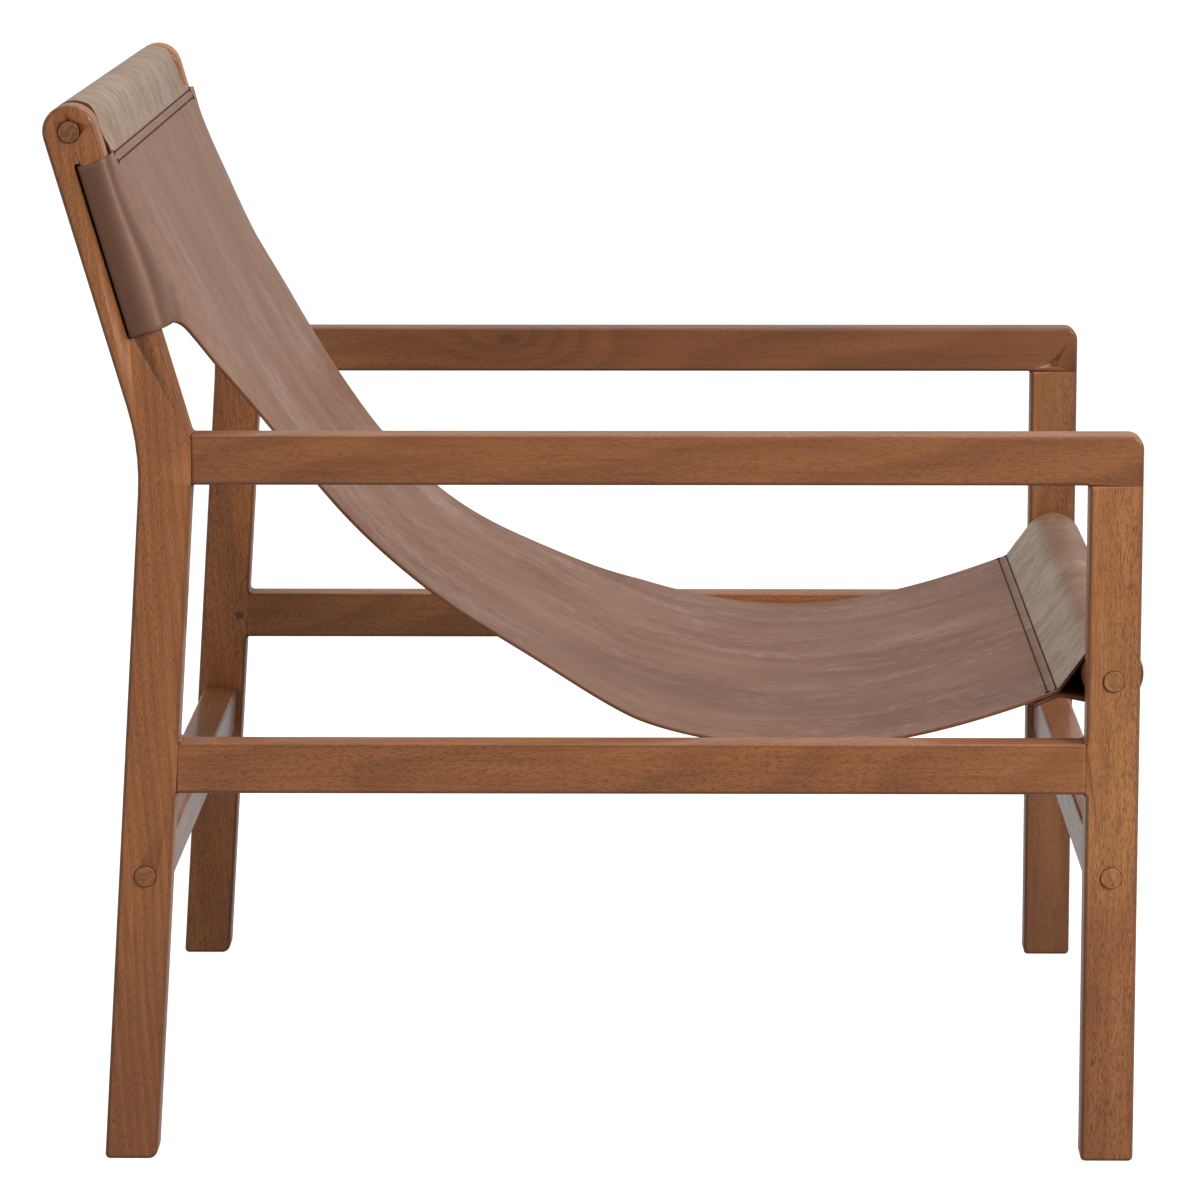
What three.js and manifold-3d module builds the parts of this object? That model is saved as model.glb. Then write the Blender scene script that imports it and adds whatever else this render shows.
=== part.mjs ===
// A lounge chair: two routed hardwood side frames, four cross members and one leather sling.
// Millimetres, +Z up, the sitter faces -Y and has the right side at -X.
// Side views are drawn in (d, h): d is forward of the rear foot's back edge, h is above the floor.
import * as THREE from 'three';
import { mergeVertices } from 'three/addons/utils/BufferGeometryUtils.js';
import Module from 'manifold-3d';

const wasm = await Module();
wasm.setup();

// side frames
const frameWidth = 660;
const frameDepth = 748;
const stock = 27;
const legWidth = 38;
const rearLegLean = 3.7;
const postLean = 16.3;
const postBendRadius = 180;
const topBarHeight = 748;
const armBottom = 496.5;
const armHeight = 36;
const armNoseRadius = 9.5;
const railBottom = 272;
const railHeight = 37;
const edgeRound = 2.5;
const footRoundExtra = 0.8;
const cornerFillet = 3;
const rearToeRadius = 7;
const roundEndFlat = 0.6;
const fit = 0.3;

// mortise and tenon joints of the side frames
const tenonThickness = 9;
const tenonShoulder = 6;
const tenonLength = 22;
const pegRadius = 3;
const pegLength = 20;
const pegSetback = 7;

// cross members
const topBarRadius = 16.2;
const seatBarRadius = 20.8;
const seatBarHeight = 355;
const stretcherHeight = 211;
const stretcherThickness = 27;
const stretcherWidth = 37;
const stubLength = 8;
const barStubRadius = 12.5;
const stretcherStubShoulder = 4.5;

// bolts, inserts and plugs at the ends of the cross members
const plugRadius = 7.75;
const plugProud = 1;
const plugChamfer = 0.5;
const plugLength = 5.7;
const boltRadius = 4;
const boltHeadRadius = 6.5;
const boltHeadHeight = 6;
const boltLength = 58;
const boltSocketRadius = 3;
const boltSocketDepth = 3;
const insertRadius = 6;
const insertLength = 20;

// leather sling
const leather = 2.5;
const sideGap = 4;
const loopSlack = 0.5;
const loopCrown = 75;
const loopFullness = 0.39;
const hemTail = 19;
const seatHemReach = 40;
const seatHemAngle = 19.4;
const hemBendRadius = 5;
const backStartLean = 25.5;
const waistForward = 176.5;
const waistDrop = 277;
const waistLean = 38;
const hollowBehind = 219;
const hollowDrop = 54;
const seatEndRise = 20.5;
const scoopDepth = 75;
const scoopLength = 404;

// side flaps, which pass through a slot in each post
const flapStart = 24.5;
const flapEnd = 151;
const flapNotchDrop = 38;
const flapNotchReach = 34;
const flapTail = 12;
const slotPlay = 1.05;
const slotSetback = 1.2;
const slotEndSpace = 1.5;
const screwRadius = 1.75;
const screwLength = 16;
const screwHeadRadius = 3.6;
const screwHeadHeight = 2.2;
const screwEndSpace = 20;

// roundness of the facets
const arcTolerance = 0.12;
const edgeFacets = 2;
const barSides = 30;
const loopFrontRows = 8;
const plugSides = 18;
const smallSides = 12;

// positions that follow from the sizes
const rad = THREE.MathUtils.degToRad;
const point = (d, h) => new THREE.Vector2(d, h);
const along = (start, direction, length) => start.clone().addScaledVector(direction, length);
const leanTan = Math.tan(rad(rearLegLean));
const rearBack = (h) => h * leanTan;
const rearFront = (h) => rearBack(h) + legWidth / Math.cos(rad(rearLegLean));
const armTop = armBottom + armHeight;
const railTop = railBottom + railHeight;
const legRear = frameDepth - legWidth;
const armBack = rearFront(armBottom);
const postUp = point(-Math.sin(rad(postLean)), Math.cos(rad(postLean)));
const postDown = postUp.clone().negate();
const postAhead = point(Math.cos(rad(postLean)), Math.sin(rad(postLean)));
const postFoot = along(point(armBack, armTop), postAhead, -legWidth / 2);
const topBar = along(postFoot, postUp, (topBarHeight - postFoot.y) / postUp.y);
const seatBar = point(frameDepth - legWidth / 2, seatBarHeight);
const rearStretcher = point((rearBack(stretcherHeight) + rearFront(stretcherHeight)) / 2, stretcherHeight);
const frontStretcher = point(frameDepth - legWidth / 2, stretcherHeight);
const slotWidth = leather + 2 * slotPlay;
const slotAhead = -legWidth / 2 - slotSetback;
const inward = (side, depth) => side * (frameWidth / 2 - depth);
const sides = [['right', -1], ['left', 1]];

// materials
const wood = () => new THREE.MeshStandardMaterial({ name: 'wood', color: 0x7a4a2c, roughness: 0.5 });
const hide = () => new THREE.MeshStandardMaterial({ name: 'leather', color: 0x8a6a58, roughness: 0.6 });
const steel = () => new THREE.MeshStandardMaterial({
  name: 'steel', color: 0xb0b0b0, roughness: 0.35, metalness: 1,
});

// solids
function solid(geometry) {
  const bare = geometry.clone();
  bare.deleteAttribute('normal');
  bare.deleteAttribute('uv');
  const merged = mergeVertices(bare);
  return new wasm.Manifold(new wasm.Mesh({
    numProp: 3,
    vertProperties: new Float32Array(merged.attributes.position.array),
    triVerts: new Uint32Array(merged.index.array),
  }));
}

function geometryOf(body) {
  const result = body.getMesh();
  const geometry = new THREE.BufferGeometry();
  geometry.setAttribute('position', new THREE.BufferAttribute(new Float32Array(result.vertProperties), 3));
  geometry.setIndex(new THREE.BufferAttribute(new Uint32Array(result.triVerts), 1));
  geometry.computeVertexNormals();
  return geometry;
}

function piece(name, shape, material) {
  const geometry = shape.isBufferGeometry ? shape : geometryOf(shape);
  const mesh = new THREE.Mesh(geometry, material);
  mesh.name = name;
  return mesh;
}

// outlines in (d, h)
function arcPoints(centre, radius, from, sweep) {
  const step = 2 * Math.acos(1 - arcTolerance / radius);
  const count = Math.max(2, Math.ceil(Math.abs(sweep) / step));
  return Array.from({ length: count + 1 }, (unused, k) => {
    const angle = from + (sweep * k) / count;
    return point(centre.x + radius * Math.cos(angle), centre.y + radius * Math.sin(angle));
  });
}

function roundCorner(before, corner, after, radius) {
  const a = before.clone().sub(corner).normalize();
  const b = after.clone().sub(corner).normalize();
  const half = Math.acos(THREE.MathUtils.clamp(a.dot(b), -1, 1)) / 2;
  const centre = along(corner, a.clone().add(b).normalize(), radius / Math.sin(half));
  const start = along(corner, a, radius / Math.tan(half)).sub(centre).angle();
  const end = along(corner, b, radius / Math.tan(half)).sub(centre).angle();
  const sweep = Math.atan2(Math.sin(end - start), Math.cos(end - start));
  return arcPoints(centre, radius, start, sweep);
}

function roundedOutline(corners) {
  return corners.flatMap(([corner, radius], k) => roundCorner(
    corners.at(k - 1)[0], corner, corners[(k + 1) % corners.length][0], radius));
}

function box(dMin, dMax, hMin, hMax) {
  return [point(dMin, hMin), point(dMax, hMin), point(dMax, hMax), point(dMin, hMax)];
}

const acrossFrame = new THREE.Matrix4().makeBasis(
  new THREE.Vector3(0, 1, 0), new THREE.Vector3(0, 0, 1), new THREE.Vector3(1, 0, 0));
const turned = (points) => points.map((p) => new THREE.Vector2(-p.x, p.y));

function slab(outline, xA, xB) {
  const geometry = new THREE.ExtrudeGeometry(new THREE.Shape(turned(outline)), {
    depth: Math.abs(xB - xA), bevelEnabled: false,
  });
  geometry.applyMatrix4(acrossFrame).translate(Math.min(xA, xB), 0, 0);
  return solid(geometry);
}

function rod(centre, radius, xA, xB, count) {
  const geometry = new THREE.CylinderGeometry(radius, radius, Math.abs(xB - xA), count);
  geometry.rotateZ(Math.PI / 2).translate((xA + xB) / 2, -centre.x, centre.y);
  return solid(geometry);
}

// the whole side frame with its edges eased, before it is parted at its joints
function routedFrame(side) {
  const postBackLine = along(topBar, postAhead, -legWidth / 2);
  const climb = (postBackLine.x - rearBack(postBackLine.y)) / (postUp.x - leanTan * postUp.y);
  const backBend = along(postBackLine, postUp, -climb);
  const postEnd = along(topBar, postUp, legWidth / 2);
  const endRadius = (legWidth - roundEndFlat) / 2;
  const footRadius = edgeRound + footRoundExtra;
  const outer = roundedOutline([
    [point(0, 0), footRadius],
    [backBend, postBendRadius],
    [along(postEnd, postAhead, -legWidth / 2), endRadius],
    [along(postEnd, postAhead, legWidth / 2), endRadius],
    [point(armBack, armTop), cornerFillet],
    [point(frameDepth, armTop), armNoseRadius],
    [point(frameDepth, 0), footRadius],
    [point(legRear, 0), footRadius],
    [point(legRear, railBottom), cornerFillet],
    [point(rearFront(railBottom), railBottom), cornerFillet],
    [point(rearFront(0), 0), rearToeRadius],
  ]);
  const opening = roundedOutline([
    [point(rearFront(railTop), railTop), cornerFillet],
    [point(legRear, railTop), cornerFillet],
    [point(legRear, armBottom), cornerFillet],
    [point(armBack, armBottom), cornerFillet],
  ]);
  const shape = new THREE.Shape(turned(outer));
  shape.holes.push(new THREE.Path(turned(opening)));
  const geometry = new THREE.ExtrudeGeometry(shape, {
    depth: stock - 2 * edgeRound,
    bevelThickness: edgeRound,
    bevelSize: edgeRound,
    bevelOffset: -edgeRound,
    bevelSegments: edgeFacets,
  });
  const xMin = Math.min(inward(side, 0), inward(side, stock));
  geometry.applyMatrix4(acrossFrame).translate(xMin + edgeRound, 0, 0);
  return solid(geometry);
}

// a joint is a tenon outline, the member that carries it and the member that takes it
function tenonSlab(side, outline, clearance) {
  const margin = (stock - tenonThickness) / 2 - clearance;
  return slab(outline, inward(side, margin), inward(side, stock - margin));
}

function jointsOf() {
  const inner = { rail: [railBottom + tenonShoulder, railTop - tenonShoulder],
    arm: [armBottom + tenonShoulder, armTop - tenonShoulder] };
  const rootOverlap = tenonShoulder;
  const railMiddle = (railBottom + railTop) / 2;
  const armMiddle = (armBottom + armTop) / 2;
  const railBack = rearFront(railMiddle);
  return [
    { from: 'rail', into: 'post', area: [railBack - tenonLength, railBack + rootOverlap, ...inner.rail],
      peg: point(railBack - pegSetback, railMiddle), name: 'rail_back' },
    { from: 'rail', into: 'leg', area: [legRear - rootOverlap, legRear + tenonLength, ...inner.rail],
      peg: point(legRear + pegSetback, railMiddle), name: 'rail_front' },
    { from: 'arm', into: 'post', area: [armBack - tenonLength, armBack + rootOverlap, ...inner.arm],
      peg: point(armBack - pegSetback, armMiddle), name: 'arm_back' },
    { from: 'leg', into: 'arm', area: [legRear + tenonShoulder, frameDepth - tenonShoulder,
      armBottom - rootOverlap, armBottom + tenonLength],
      peg: point(frameDepth - legWidth / 2, armBottom + pegSetback), name: 'arm_front' },
  ];
}

// bolts: depths run inward from the side frame's outer face
const headSeat = plugLength - plugProud + fit + boltHeadHeight;
const stubEnd = stock - stubLength;
const insertEnd = stubEnd + fit + insertLength;
const boltEnd = headSeat + boltLength;

function boltBore(side, centre) {
  const counterbore = rod(centre, plugRadius + fit, inward(side, -1), inward(side, headSeat + fit), plugSides);
  const through = rod(centre, boltRadius + fit, inward(side, headSeat), inward(side, stock + 1), smallSides);
  return counterbore.add(through);
}

function stubOutline(centre, lean, clearance) {
  const reachAhead = stretcherThickness / 2 - stretcherStubShoulder + clearance;
  const reachUp = stretcherWidth / 2 - stretcherStubShoulder + clearance;
  return box(-reachAhead, reachAhead, -reachUp, reachUp).map(
    (p) => p.rotateAround(point(0, 0), -lean).add(centre));
}

function stubSocket(side, member) {
  const [xA, xB] = [inward(side, stubEnd - fit), inward(side, stock + 1)];
  if (member.radius) return rod(member.centre, barStubRadius + fit, xA, xB, barSides);
  return slab(stubOutline(member.centre, member.lean, fit), xA, xB);
}

const members = [
  { name: 'top_back_bar', centre: topBar, radius: topBarRadius, onto: 'post' },
  { name: 'front_seat_bar', centre: seatBar, radius: seatBarRadius, onto: 'leg' },
  { name: 'rear_stretcher', centre: rearStretcher, lean: rad(rearLegLean), onto: 'post' },
  { name: 'front_stretcher', centre: frontStretcher, lean: 0, onto: 'leg' },
];

// the slot and the screw holes lie along the post, measured down from the top bar
const onPost = (down, ahead) => along(along(topBar, postDown, down), postAhead, legWidth / 2 + ahead);
const screwAhead = slotAhead - slotWidth / 2 + fit - flapTail / 2;
const screwDowns = [flapStart + screwEndSpace, (flapStart + flapEnd) / 2, flapEnd - screwEndSpace];

function slotCut(side) {
  const [start, end] = [flapStart - slotEndSpace, flapEnd + slotEndSpace];
  const endRadius = (slotWidth - roundEndFlat) / 2;
  const outline = roundedOutline([
    [onPost(start, slotAhead - slotWidth / 2), endRadius],
    [onPost(start, slotAhead + slotWidth / 2), endRadius],
    [onPost(end, slotAhead + slotWidth / 2), endRadius],
    [onPost(end, slotAhead - slotWidth / 2), endRadius],
  ]);
  return slab(outline, inward(side, -1), inward(side, stock + 1));
}

function screwHole(side, down, depthA, depthB) {
  const centre = onPost(down, screwAhead);
  return rod(centre, screwRadius + fit, inward(side, depthA), inward(side, depthB), smallSides);
}

function sideFrame(label, side) {
  const frame = routedFrame(side);
  const [xA, xB] = [inward(side, -1), inward(side, stock + 1)];
  const railEnds = (gap) => [
    point(rearFront(railBottom) + gap, railBottom), point(legRear - gap, railBottom),
    point(legRear - gap, railTop), point(rearFront(railTop) + gap, railTop),
  ];
  const railZone = slab(box(0, frameDepth, railBottom - fit, railTop + fit), xA, xB)
    .intersect(slab([point(rearFront(0), 0), point(legRear, 0), point(legRear, armTop),
      point(rearFront(armTop), armTop)], xA, xB));
  const beyond = frameDepth + legWidth;
  const armZone = slab(box(armBack, beyond, armBottom - fit, armTop + fit), xA, xB);
  const uprights = frame.subtract(railZone).subtract(armZone);
  const parting = frameDepth / 2;
  const parts = {
    rail: frame.intersect(slab(railEnds(fit), xA, xB)),
    arm: frame.intersect(slab(box(armBack + fit, beyond, armBottom, armTop), xA, xB)),
    post: uprights.intersect(slab(box(-parting, parting, -legWidth, frameDepth * 2), xA, xB)),
    leg: uprights.intersect(slab(box(parting, beyond, -legWidth, frameDepth * 2), xA, xB)),
  };
  for (const joint of jointsOf()) {
    const [dMin, dMax, hMin, hMax] = joint.area;
    const socket = box(dMin - fit, dMax + fit, hMin - fit, hMax + fit);
    parts[joint.into] = parts[joint.into].subtract(tenonSlab(side, socket, fit));
    parts[joint.from] = parts[joint.from].add(tenonSlab(side, box(dMin, dMax, hMin, hMax), 0));
  }
  for (const joint of jointsOf()) {
    const hole = rod(joint.peg, pegRadius + fit, inward(side, stock - pegLength - fit), xB, smallSides);
    parts[joint.into] = parts[joint.into].subtract(hole);
    parts[joint.from] = parts[joint.from].subtract(hole);
  }
  for (const member of members) {
    const bore = boltBore(side, member.centre).add(stubSocket(side, member));
    parts[member.onto] = parts[member.onto].subtract(bore);
  }
  parts.post = parts.post.subtract(slotCut(side));
  for (const down of screwDowns) {
    parts.post = parts.post.subtract(screwHole(side, down, stock - screwLength - fit, stock + 1));
  }
  const group = new THREE.Group();
  group.name = `side_frame_${label}`;
  group.add(
    piece(`rear_post_${label}`, parts.post, wood()),
    piece(`front_leg_${label}`, parts.leg, wood()),
    piece(`armrest_${label}`, parts.arm, wood()),
    piece(`seat_rail_${label}`, parts.rail, wood()),
  );
  return group;
}

// cross members run along X; their ends are bored for the inserts and the bolts
function endBore(side, centre) {
  const insertBore = rod(centre, insertRadius + fit, inward(side, 0), inward(side, insertEnd + fit), plugSides);
  const boltTip = rod(centre, boltRadius + fit, inward(side, insertEnd), inward(side, boltEnd + fit), smallSides);
  return insertBore.add(boltTip);
}

function crossMember(member) {
  const shoulder = inward(1, stock + fit);
  const tip = inward(1, stubEnd);
  const outline = roundedOutline(box(-stretcherThickness / 2, stretcherThickness / 2,
    -stretcherWidth / 2, stretcherWidth / 2).map((p) => [p, edgeRound]));
  const seat = member.centre;
  const body = member.radius
    ? rod(seat, member.radius, -shoulder, shoulder, barSides).add(rod(seat, barStubRadius, -tip, tip, barSides))
    : slab(outline.map((p) => p.rotateAround(point(0, 0), -member.lean).add(seat)), -shoulder, shoulder)
      .add(slab(stubOutline(seat, member.lean, 0), -tip, tip));
  const bored = body.subtract(endBore(-1, seat)).subtract(endBore(1, seat));
  return piece(member.name, bored, wood());
}

// turned pieces are drawn as [radius, position along their axis] and lie along +X
function turnedPiece(profile, count) {
  const geometry = new THREE.LatheGeometry(profile.map(([r, y]) => point(r, y)), count);
  return geometry.rotateZ(-Math.PI / 2);
}

function lay(mesh, side, depth, centre) {
  mesh.position.set(inward(side, depth), -centre.x, centre.y);
  mesh.rotation.y = side > 0 ? Math.PI : 0;
  return mesh;
}

const plugShape = turnedPiece([
  [0, 0], [plugRadius - plugChamfer, 0], [plugRadius, plugChamfer], [plugRadius, plugLength], [0, plugLength],
], plugSides);

const pegShape = turnedPiece([[0, 0], [pegRadius, 0], [pegRadius, pegLength], [0, pegLength]], smallSides);

const insertShape = turnedPiece([
  [boltRadius + fit, 0], [insertRadius, 0], [insertRadius, insertLength], [boltRadius + fit, insertLength],
  [boltRadius + fit, 0],
], smallSides);

function hexSocket(radius, depth) {
  const geometry = new THREE.CylinderGeometry(radius, radius, depth, 6);
  return solid(geometry.rotateZ(Math.PI / 2));
}

const boltShape = geometryOf(solid(turnedPiece([
  [0, -boltHeadHeight], [boltHeadRadius, -boltHeadHeight], [boltHeadRadius, 0], [boltRadius, 0],
  [boltRadius, boltLength - boltRadius], [boltRadius / 2, boltLength], [0, boltLength],
], smallSides)).subtract(hexSocket(boltSocketRadius, boltSocketDepth).translate([-boltHeadHeight, 0, 0])));

const screwShape = geometryOf(solid(turnedPiece([
  [0, -screwHeadHeight], [screwHeadRadius * 0.6, -screwHeadHeight], [screwHeadRadius, -screwHeadHeight / 3],
  [screwHeadRadius, 0], [screwRadius, 0], [screwRadius, screwLength - screwRadius], [0, screwLength],
], smallSides)).subtract(hexSocket(screwRadius, screwHeadHeight).translate([-screwHeadHeight, 0, 0])));

function hardware(label, side) {
  const group = new THREE.Group();
  group.name = `hardware_${label}`;
  for (const { name, centre } of members) {
    const bolt = piece(`bolt_${name}_${label}`, boltShape, steel());
    const insert = piece(`insert_${name}_${label}`, insertShape, steel());
    const plug = piece(`plug_${name}_${label}`, plugShape, wood());
    group.add(lay(bolt, side, headSeat, centre));
    group.add(lay(insert, side, stubEnd + fit, centre));
    group.add(lay(plug, side, -plugProud, centre));
  }
  for (const joint of jointsOf()) {
    const peg = piece(`peg_${joint.name}_${label}`, pegShape, wood());
    group.add(lay(peg, side, stock - pegLength, joint.peg));
  }
  screwDowns.forEach((down, k) => {
    const screw = piece(`flap_screw_${k + 1}_${label}`, screwShape, steel());
    group.add(lay(screw, -side, frameWidth - stock - leather - 2 * fit, onPost(down, screwAhead)));
  });
  return group;
}

// the sling's middle surface in the side view, from the upper hem round both bars to the lower hem
const loopRadius = (bar) => bar + loopSlack + leather / 2;
const layerStep = leather + fit;
const heading = (lean) => point(Math.sin(rad(lean)), -Math.cos(rad(lean)));
const upperSeam = onPost(flapStart, fit + leather / 2);
const lowerSeam = along(seatBar, point(-Math.cos(rad(seatHemAngle)), -Math.sin(rad(seatHemAngle))), seatHemReach);
const waist = point(topBar.x + waistForward, topBar.y - waistDrop);
const hollow = point(seatBar.x - hollowBehind, seatBar.y - hollowDrop);
const seatEndHeading = heading(90 + seatEndRise);

function stretch(start, startHeading, end, endHeading, fullness = 1 / 3) {
  const handle = start.distanceTo(end) * fullness;
  return new THREE.CubicBezierCurve(start, along(start, startHeading, handle),
    along(end, endHeading, -handle), end);
}

const panel = new THREE.CurvePath();
panel.add(stretch(upperSeam, heading(backStartLean), waist, heading(waistLean)));
panel.add(stretch(waist, heading(waistLean), hollow, heading(90)));
panel.add(stretch(hollow, heading(90), lowerSeam, seatEndHeading));
const panelFine = panel.getSpacedPoints(600);
const panelLength = panel.getLength();
const downPost = (p) => p.clone().sub(topBar).dot(postDown);
const aheadOfPost = (p) => p.clone().sub(topBar).dot(postAhead) - legWidth / 2;
const aheadNormal = (direction) => point(-direction.y, direction.x);

function panelAt(distance) {
  const place = THREE.MathUtils.clamp(distance / panelLength, 0, 1) * (panelFine.length - 1);
  const k = Math.min(Math.floor(place), panelFine.length - 2);
  const direction = panelFine[k + 1].clone().sub(panelFine[k]);
  return { p: along(panelFine[k], direction, place - k), n: aheadNormal(direction.normalize()), distance };
}

function panelDown(down) {
  const k = panelFine.findIndex((p) => downPost(p) > down + 1e-6);
  const [before, after] = [downPost(panelFine[k - 1]), downPost(panelFine[k])];
  return panelAt(((k - 1 + (down - before) / (after - before)) / (panelFine.length - 1)) * panelLength);
}

function tangentPoint(from, centre, radius, turn) {
  const gap = from.clone().sub(centre);
  const angle = gap.angle() + turn * Math.acos(radius / gap.length());
  return point(centre.x + radius * Math.cos(angle), centre.y + radius * Math.sin(angle));
}

function wrap(centre, radius, from, to) {
  const start = from.clone().sub(centre).angle();
  const turn = (to.clone().sub(centre).angle() - start) % (2 * Math.PI);
  return arcPoints(centre, radius, start, turn > 0 ? turn - 2 * Math.PI : turn);
}

function upperLoop() {
  const seam = panelAt(0);
  const hemSeam = along(seam.p, seam.n, -layerStep);
  const hemFoot = panelAt(hemTail);
  const hemEnd = along(hemFoot.p, hemFoot.n, -layerStep);
  const radius = loopRadius(topBarRadius);
  const under = tangentPoint(hemSeam, topBar, radius, -1);
  const crownOut = point(Math.cos(rad(loopCrown)), Math.sin(rad(loopCrown)));
  const crown = along(topBar, crownOut, radius);
  const front = stretch(crown, point(crownOut.y, -crownOut.x), seam.p, heading(backStartLean), loopFullness);
  return [hemEnd, ...roundCorner(hemEnd, hemSeam, under, hemBendRadius), ...wrap(topBar, radius, under, crown),
    ...front.getPoints(loopFrontRows).slice(1, -1)];
}

function lowerLoop() {
  const seam = panelAt(panelLength);
  const hemSeam = along(seam.p, seam.n, -layerStep);
  const hemFoot = panelAt(panelLength - hemTail);
  const hemEnd = along(hemFoot.p, hemFoot.n, -layerStep);
  const radius = loopRadius(seatBarRadius);
  const over = tangentPoint(seam.p, seatBar, radius, -1);
  const under = tangentPoint(hemSeam, seatBar, radius, 1);
  return [...wrap(seatBar, radius, over, under), ...roundCorner(under, hemSeam, hemEnd, hemBendRadius), hemEnd];
}

// how far the sheet's edge lies inside the side frame's outer face, along the panel
const straightInset = stock + sideGap;

function edgeInset(distance) {
  const scoopFrom = panelDown(flapEnd + flapNotchDrop).distance;
  const share = (distance - scoopFrom) / scoopLength;
  if (share <= 0 || share >= 1) return straightInset;
  return straightInset + scoopDepth * 4 * share * (1 - share);
}

// the flap leaves the panel's edge, bends round the post's front corner and passes through the slot
const flapBends = { corner: 5, slot: 3 };
const slotBend = leather / 2 + slotPlay - fit;
const faceOffset = -fit - leather / 2;
const innerOffset = stock + fit + leather / 2;

function flapColumns(ahead) {
  const radius = ahead + edgeRound;
  const quarter = (count) => Array.from({ length: count + 1 }, (unused, k) => (Math.PI / 2) * (k / count));
  const columns = [{ ahead, depth: straightInset, tilt: 0 }];
  for (const tilt of quarter(flapBends.corner)) {
    columns.push({
      ahead: ahead - radius * (1 - Math.cos(tilt)),
      depth: faceOffset + radius * (1 - Math.sin(tilt)),
      tilt,
    });
  }
  for (const turn of quarter(flapBends.slot)) {
    columns.push({
      ahead: slotAhead + slotBend * (1 - Math.sin(turn)),
      depth: faceOffset + slotBend * (1 - Math.cos(turn)),
      tilt: Math.PI / 2 + turn,
    });
  }
  for (const turn of quarter(flapBends.slot)) {
    columns.push({
      ahead: slotAhead - slotBend * (1 - Math.cos(turn)),
      depth: innerOffset - slotBend * (1 - Math.sin(turn)),
      tilt: Math.PI - turn,
    });
  }
  columns.push({ ahead: slotAhead - slotBend - flapTail, depth: innerOffset, tilt: Math.PI / 2 });
  return columns;
}

// the flap's lower edge, down the post, at a distance outward from the panel's edge
function flapLowerEdge(outward) {
  const share = Math.max(0, 1 - outward / flapNotchReach);
  return flapEnd + flapNotchDrop * share ** 1.5;
}

function slingGeometry() {
  const places = [];
  const quads = [];
  const place = (x, p, normal) => places.push({ at: new THREE.Vector3(x, -p.x, p.y), normal }) - 1;
  const flat = (n) => new THREE.Vector3(0, -n.x, n.y);
  const flapRows = 7;
  const lowestDown = flapLowerEdge(0);
  const downs = Array.from({ length: flapRows + 1 },
    (unused, k) => flapStart + ((lowestDown - flapStart) * k) / flapRows);
  const flapPanel = downs.map((down) => panelDown(Math.max(down, flapStart)));
  const flapStop = flapPanel.at(-1).distance;
  const lowerRows = 26;
  const lowerPanel = Array.from({ length: lowerRows },
    (unused, k) => panelAt(flapStop + ((panelLength - flapStop) * (k + 1)) / lowerRows));
  const loops = [upperLoop(), lowerLoop()];
  const panelRows = [...flapPanel, ...lowerPanel];
  const path = [...loops[0], ...panelRows.map((row) => row.p), ...loops[1]];
  const insets = [...loops[0].map(() => straightInset), ...panelRows.map((row) => edgeInset(row.distance)),
    ...loops[1].map(() => straightInset)];

  const grid = path.map((p, k) => {
    const before = p.clone().sub(path[Math.max(k - 1, 0)]).normalize();
    const after = path[Math.min(k + 1, path.length - 1)].clone().sub(p).normalize();
    const normal = flat(aheadNormal(before.add(after).normalize()));
    return [inward(-1, insets[k]), 0, inward(1, insets[k])].map((x) => place(x, p, normal));
  });
  for (let k = 0; k + 1 < grid.length; k += 1) {
    for (let c = 0; c < 2; c += 1) {
      quads.push([grid[k][c], grid[k + 1][c], grid[k + 1][c + 1], grid[k][c + 1]]);
    }
  }

  for (const [, side] of sides) {
    const outwards = [0];
    const bottom = flapColumns(aheadOfPost(panelDown(flapEnd).p));
    for (let c = 1; c < bottom.length; c += 1) {
      const [a, b] = [bottom[c - 1], bottom[c]];
      outwards.push(outwards[c - 1] + Math.hypot(a.ahead - b.ahead, a.depth - b.depth));
    }
    const flap = downs.map((down, k) => outwards.map((outward, c) => {
      if (c === 0) return grid[loops[0].length + k][side < 0 ? 0 : 2];
      const squeeze = (flapLowerEdge(outward) - flapStart) / (lowestDown - flapStart);
      const row = panelDown(flapStart + (down - flapStart) * squeeze);
      const ahead = aheadOfPost(row.p);
      const column = flapColumns(ahead)[c];
      const normal = flat(column.tilt > Math.PI / 2 ? postAhead : row.n).multiplyScalar(Math.cos(column.tilt));
      normal.x = side * Math.sin(column.tilt);
      return place(inward(side, column.depth), along(row.p, postAhead, column.ahead - ahead), normal.normalize());
    }));
    for (let k = 0; k < flapRows; k += 1) {
      for (let c = 0; c + 1 < outwards.length; c += 1) {
        const quad = [flap[k][c], flap[k + 1][c], flap[k + 1][c + 1], flap[k][c + 1]];
        quads.push(side > 0 ? quad : quad.reverse());
      }
    }
  }
  return thickened(places, quads);
}

// give a sheet of quads its thickness: both faces, and a wall along every open edge
function thickened(places, quads) {
  const half = leather / 2;
  const positions = [half, -half].flatMap((offset) => places.flatMap(
    ({ at, normal }) => at.clone().addScaledVector(normal, offset).toArray()));
  const behind = (v) => v + places.length;
  const index = [];
  const open = new Map();
  for (const [a, b, c, d] of quads) {
    index.push(a, b, c, a, c, d);
    index.push(behind(a), behind(c), behind(b), behind(a), behind(d), behind(c));
    for (const [from, to] of [[a, b], [b, c], [c, d], [d, a]]) {
      if (!open.delete(`${to} ${from}`)) open.set(`${from} ${to}`, [from, to]);
    }
  }
  for (const [from, to] of open.values()) {
    index.push(to, from, behind(from), to, behind(from), behind(to));
  }
  const geometry = new THREE.BufferGeometry();
  geometry.setAttribute('position', new THREE.BufferAttribute(new Float32Array(positions), 3));
  geometry.setIndex(index);
  return geometry;
}

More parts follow.
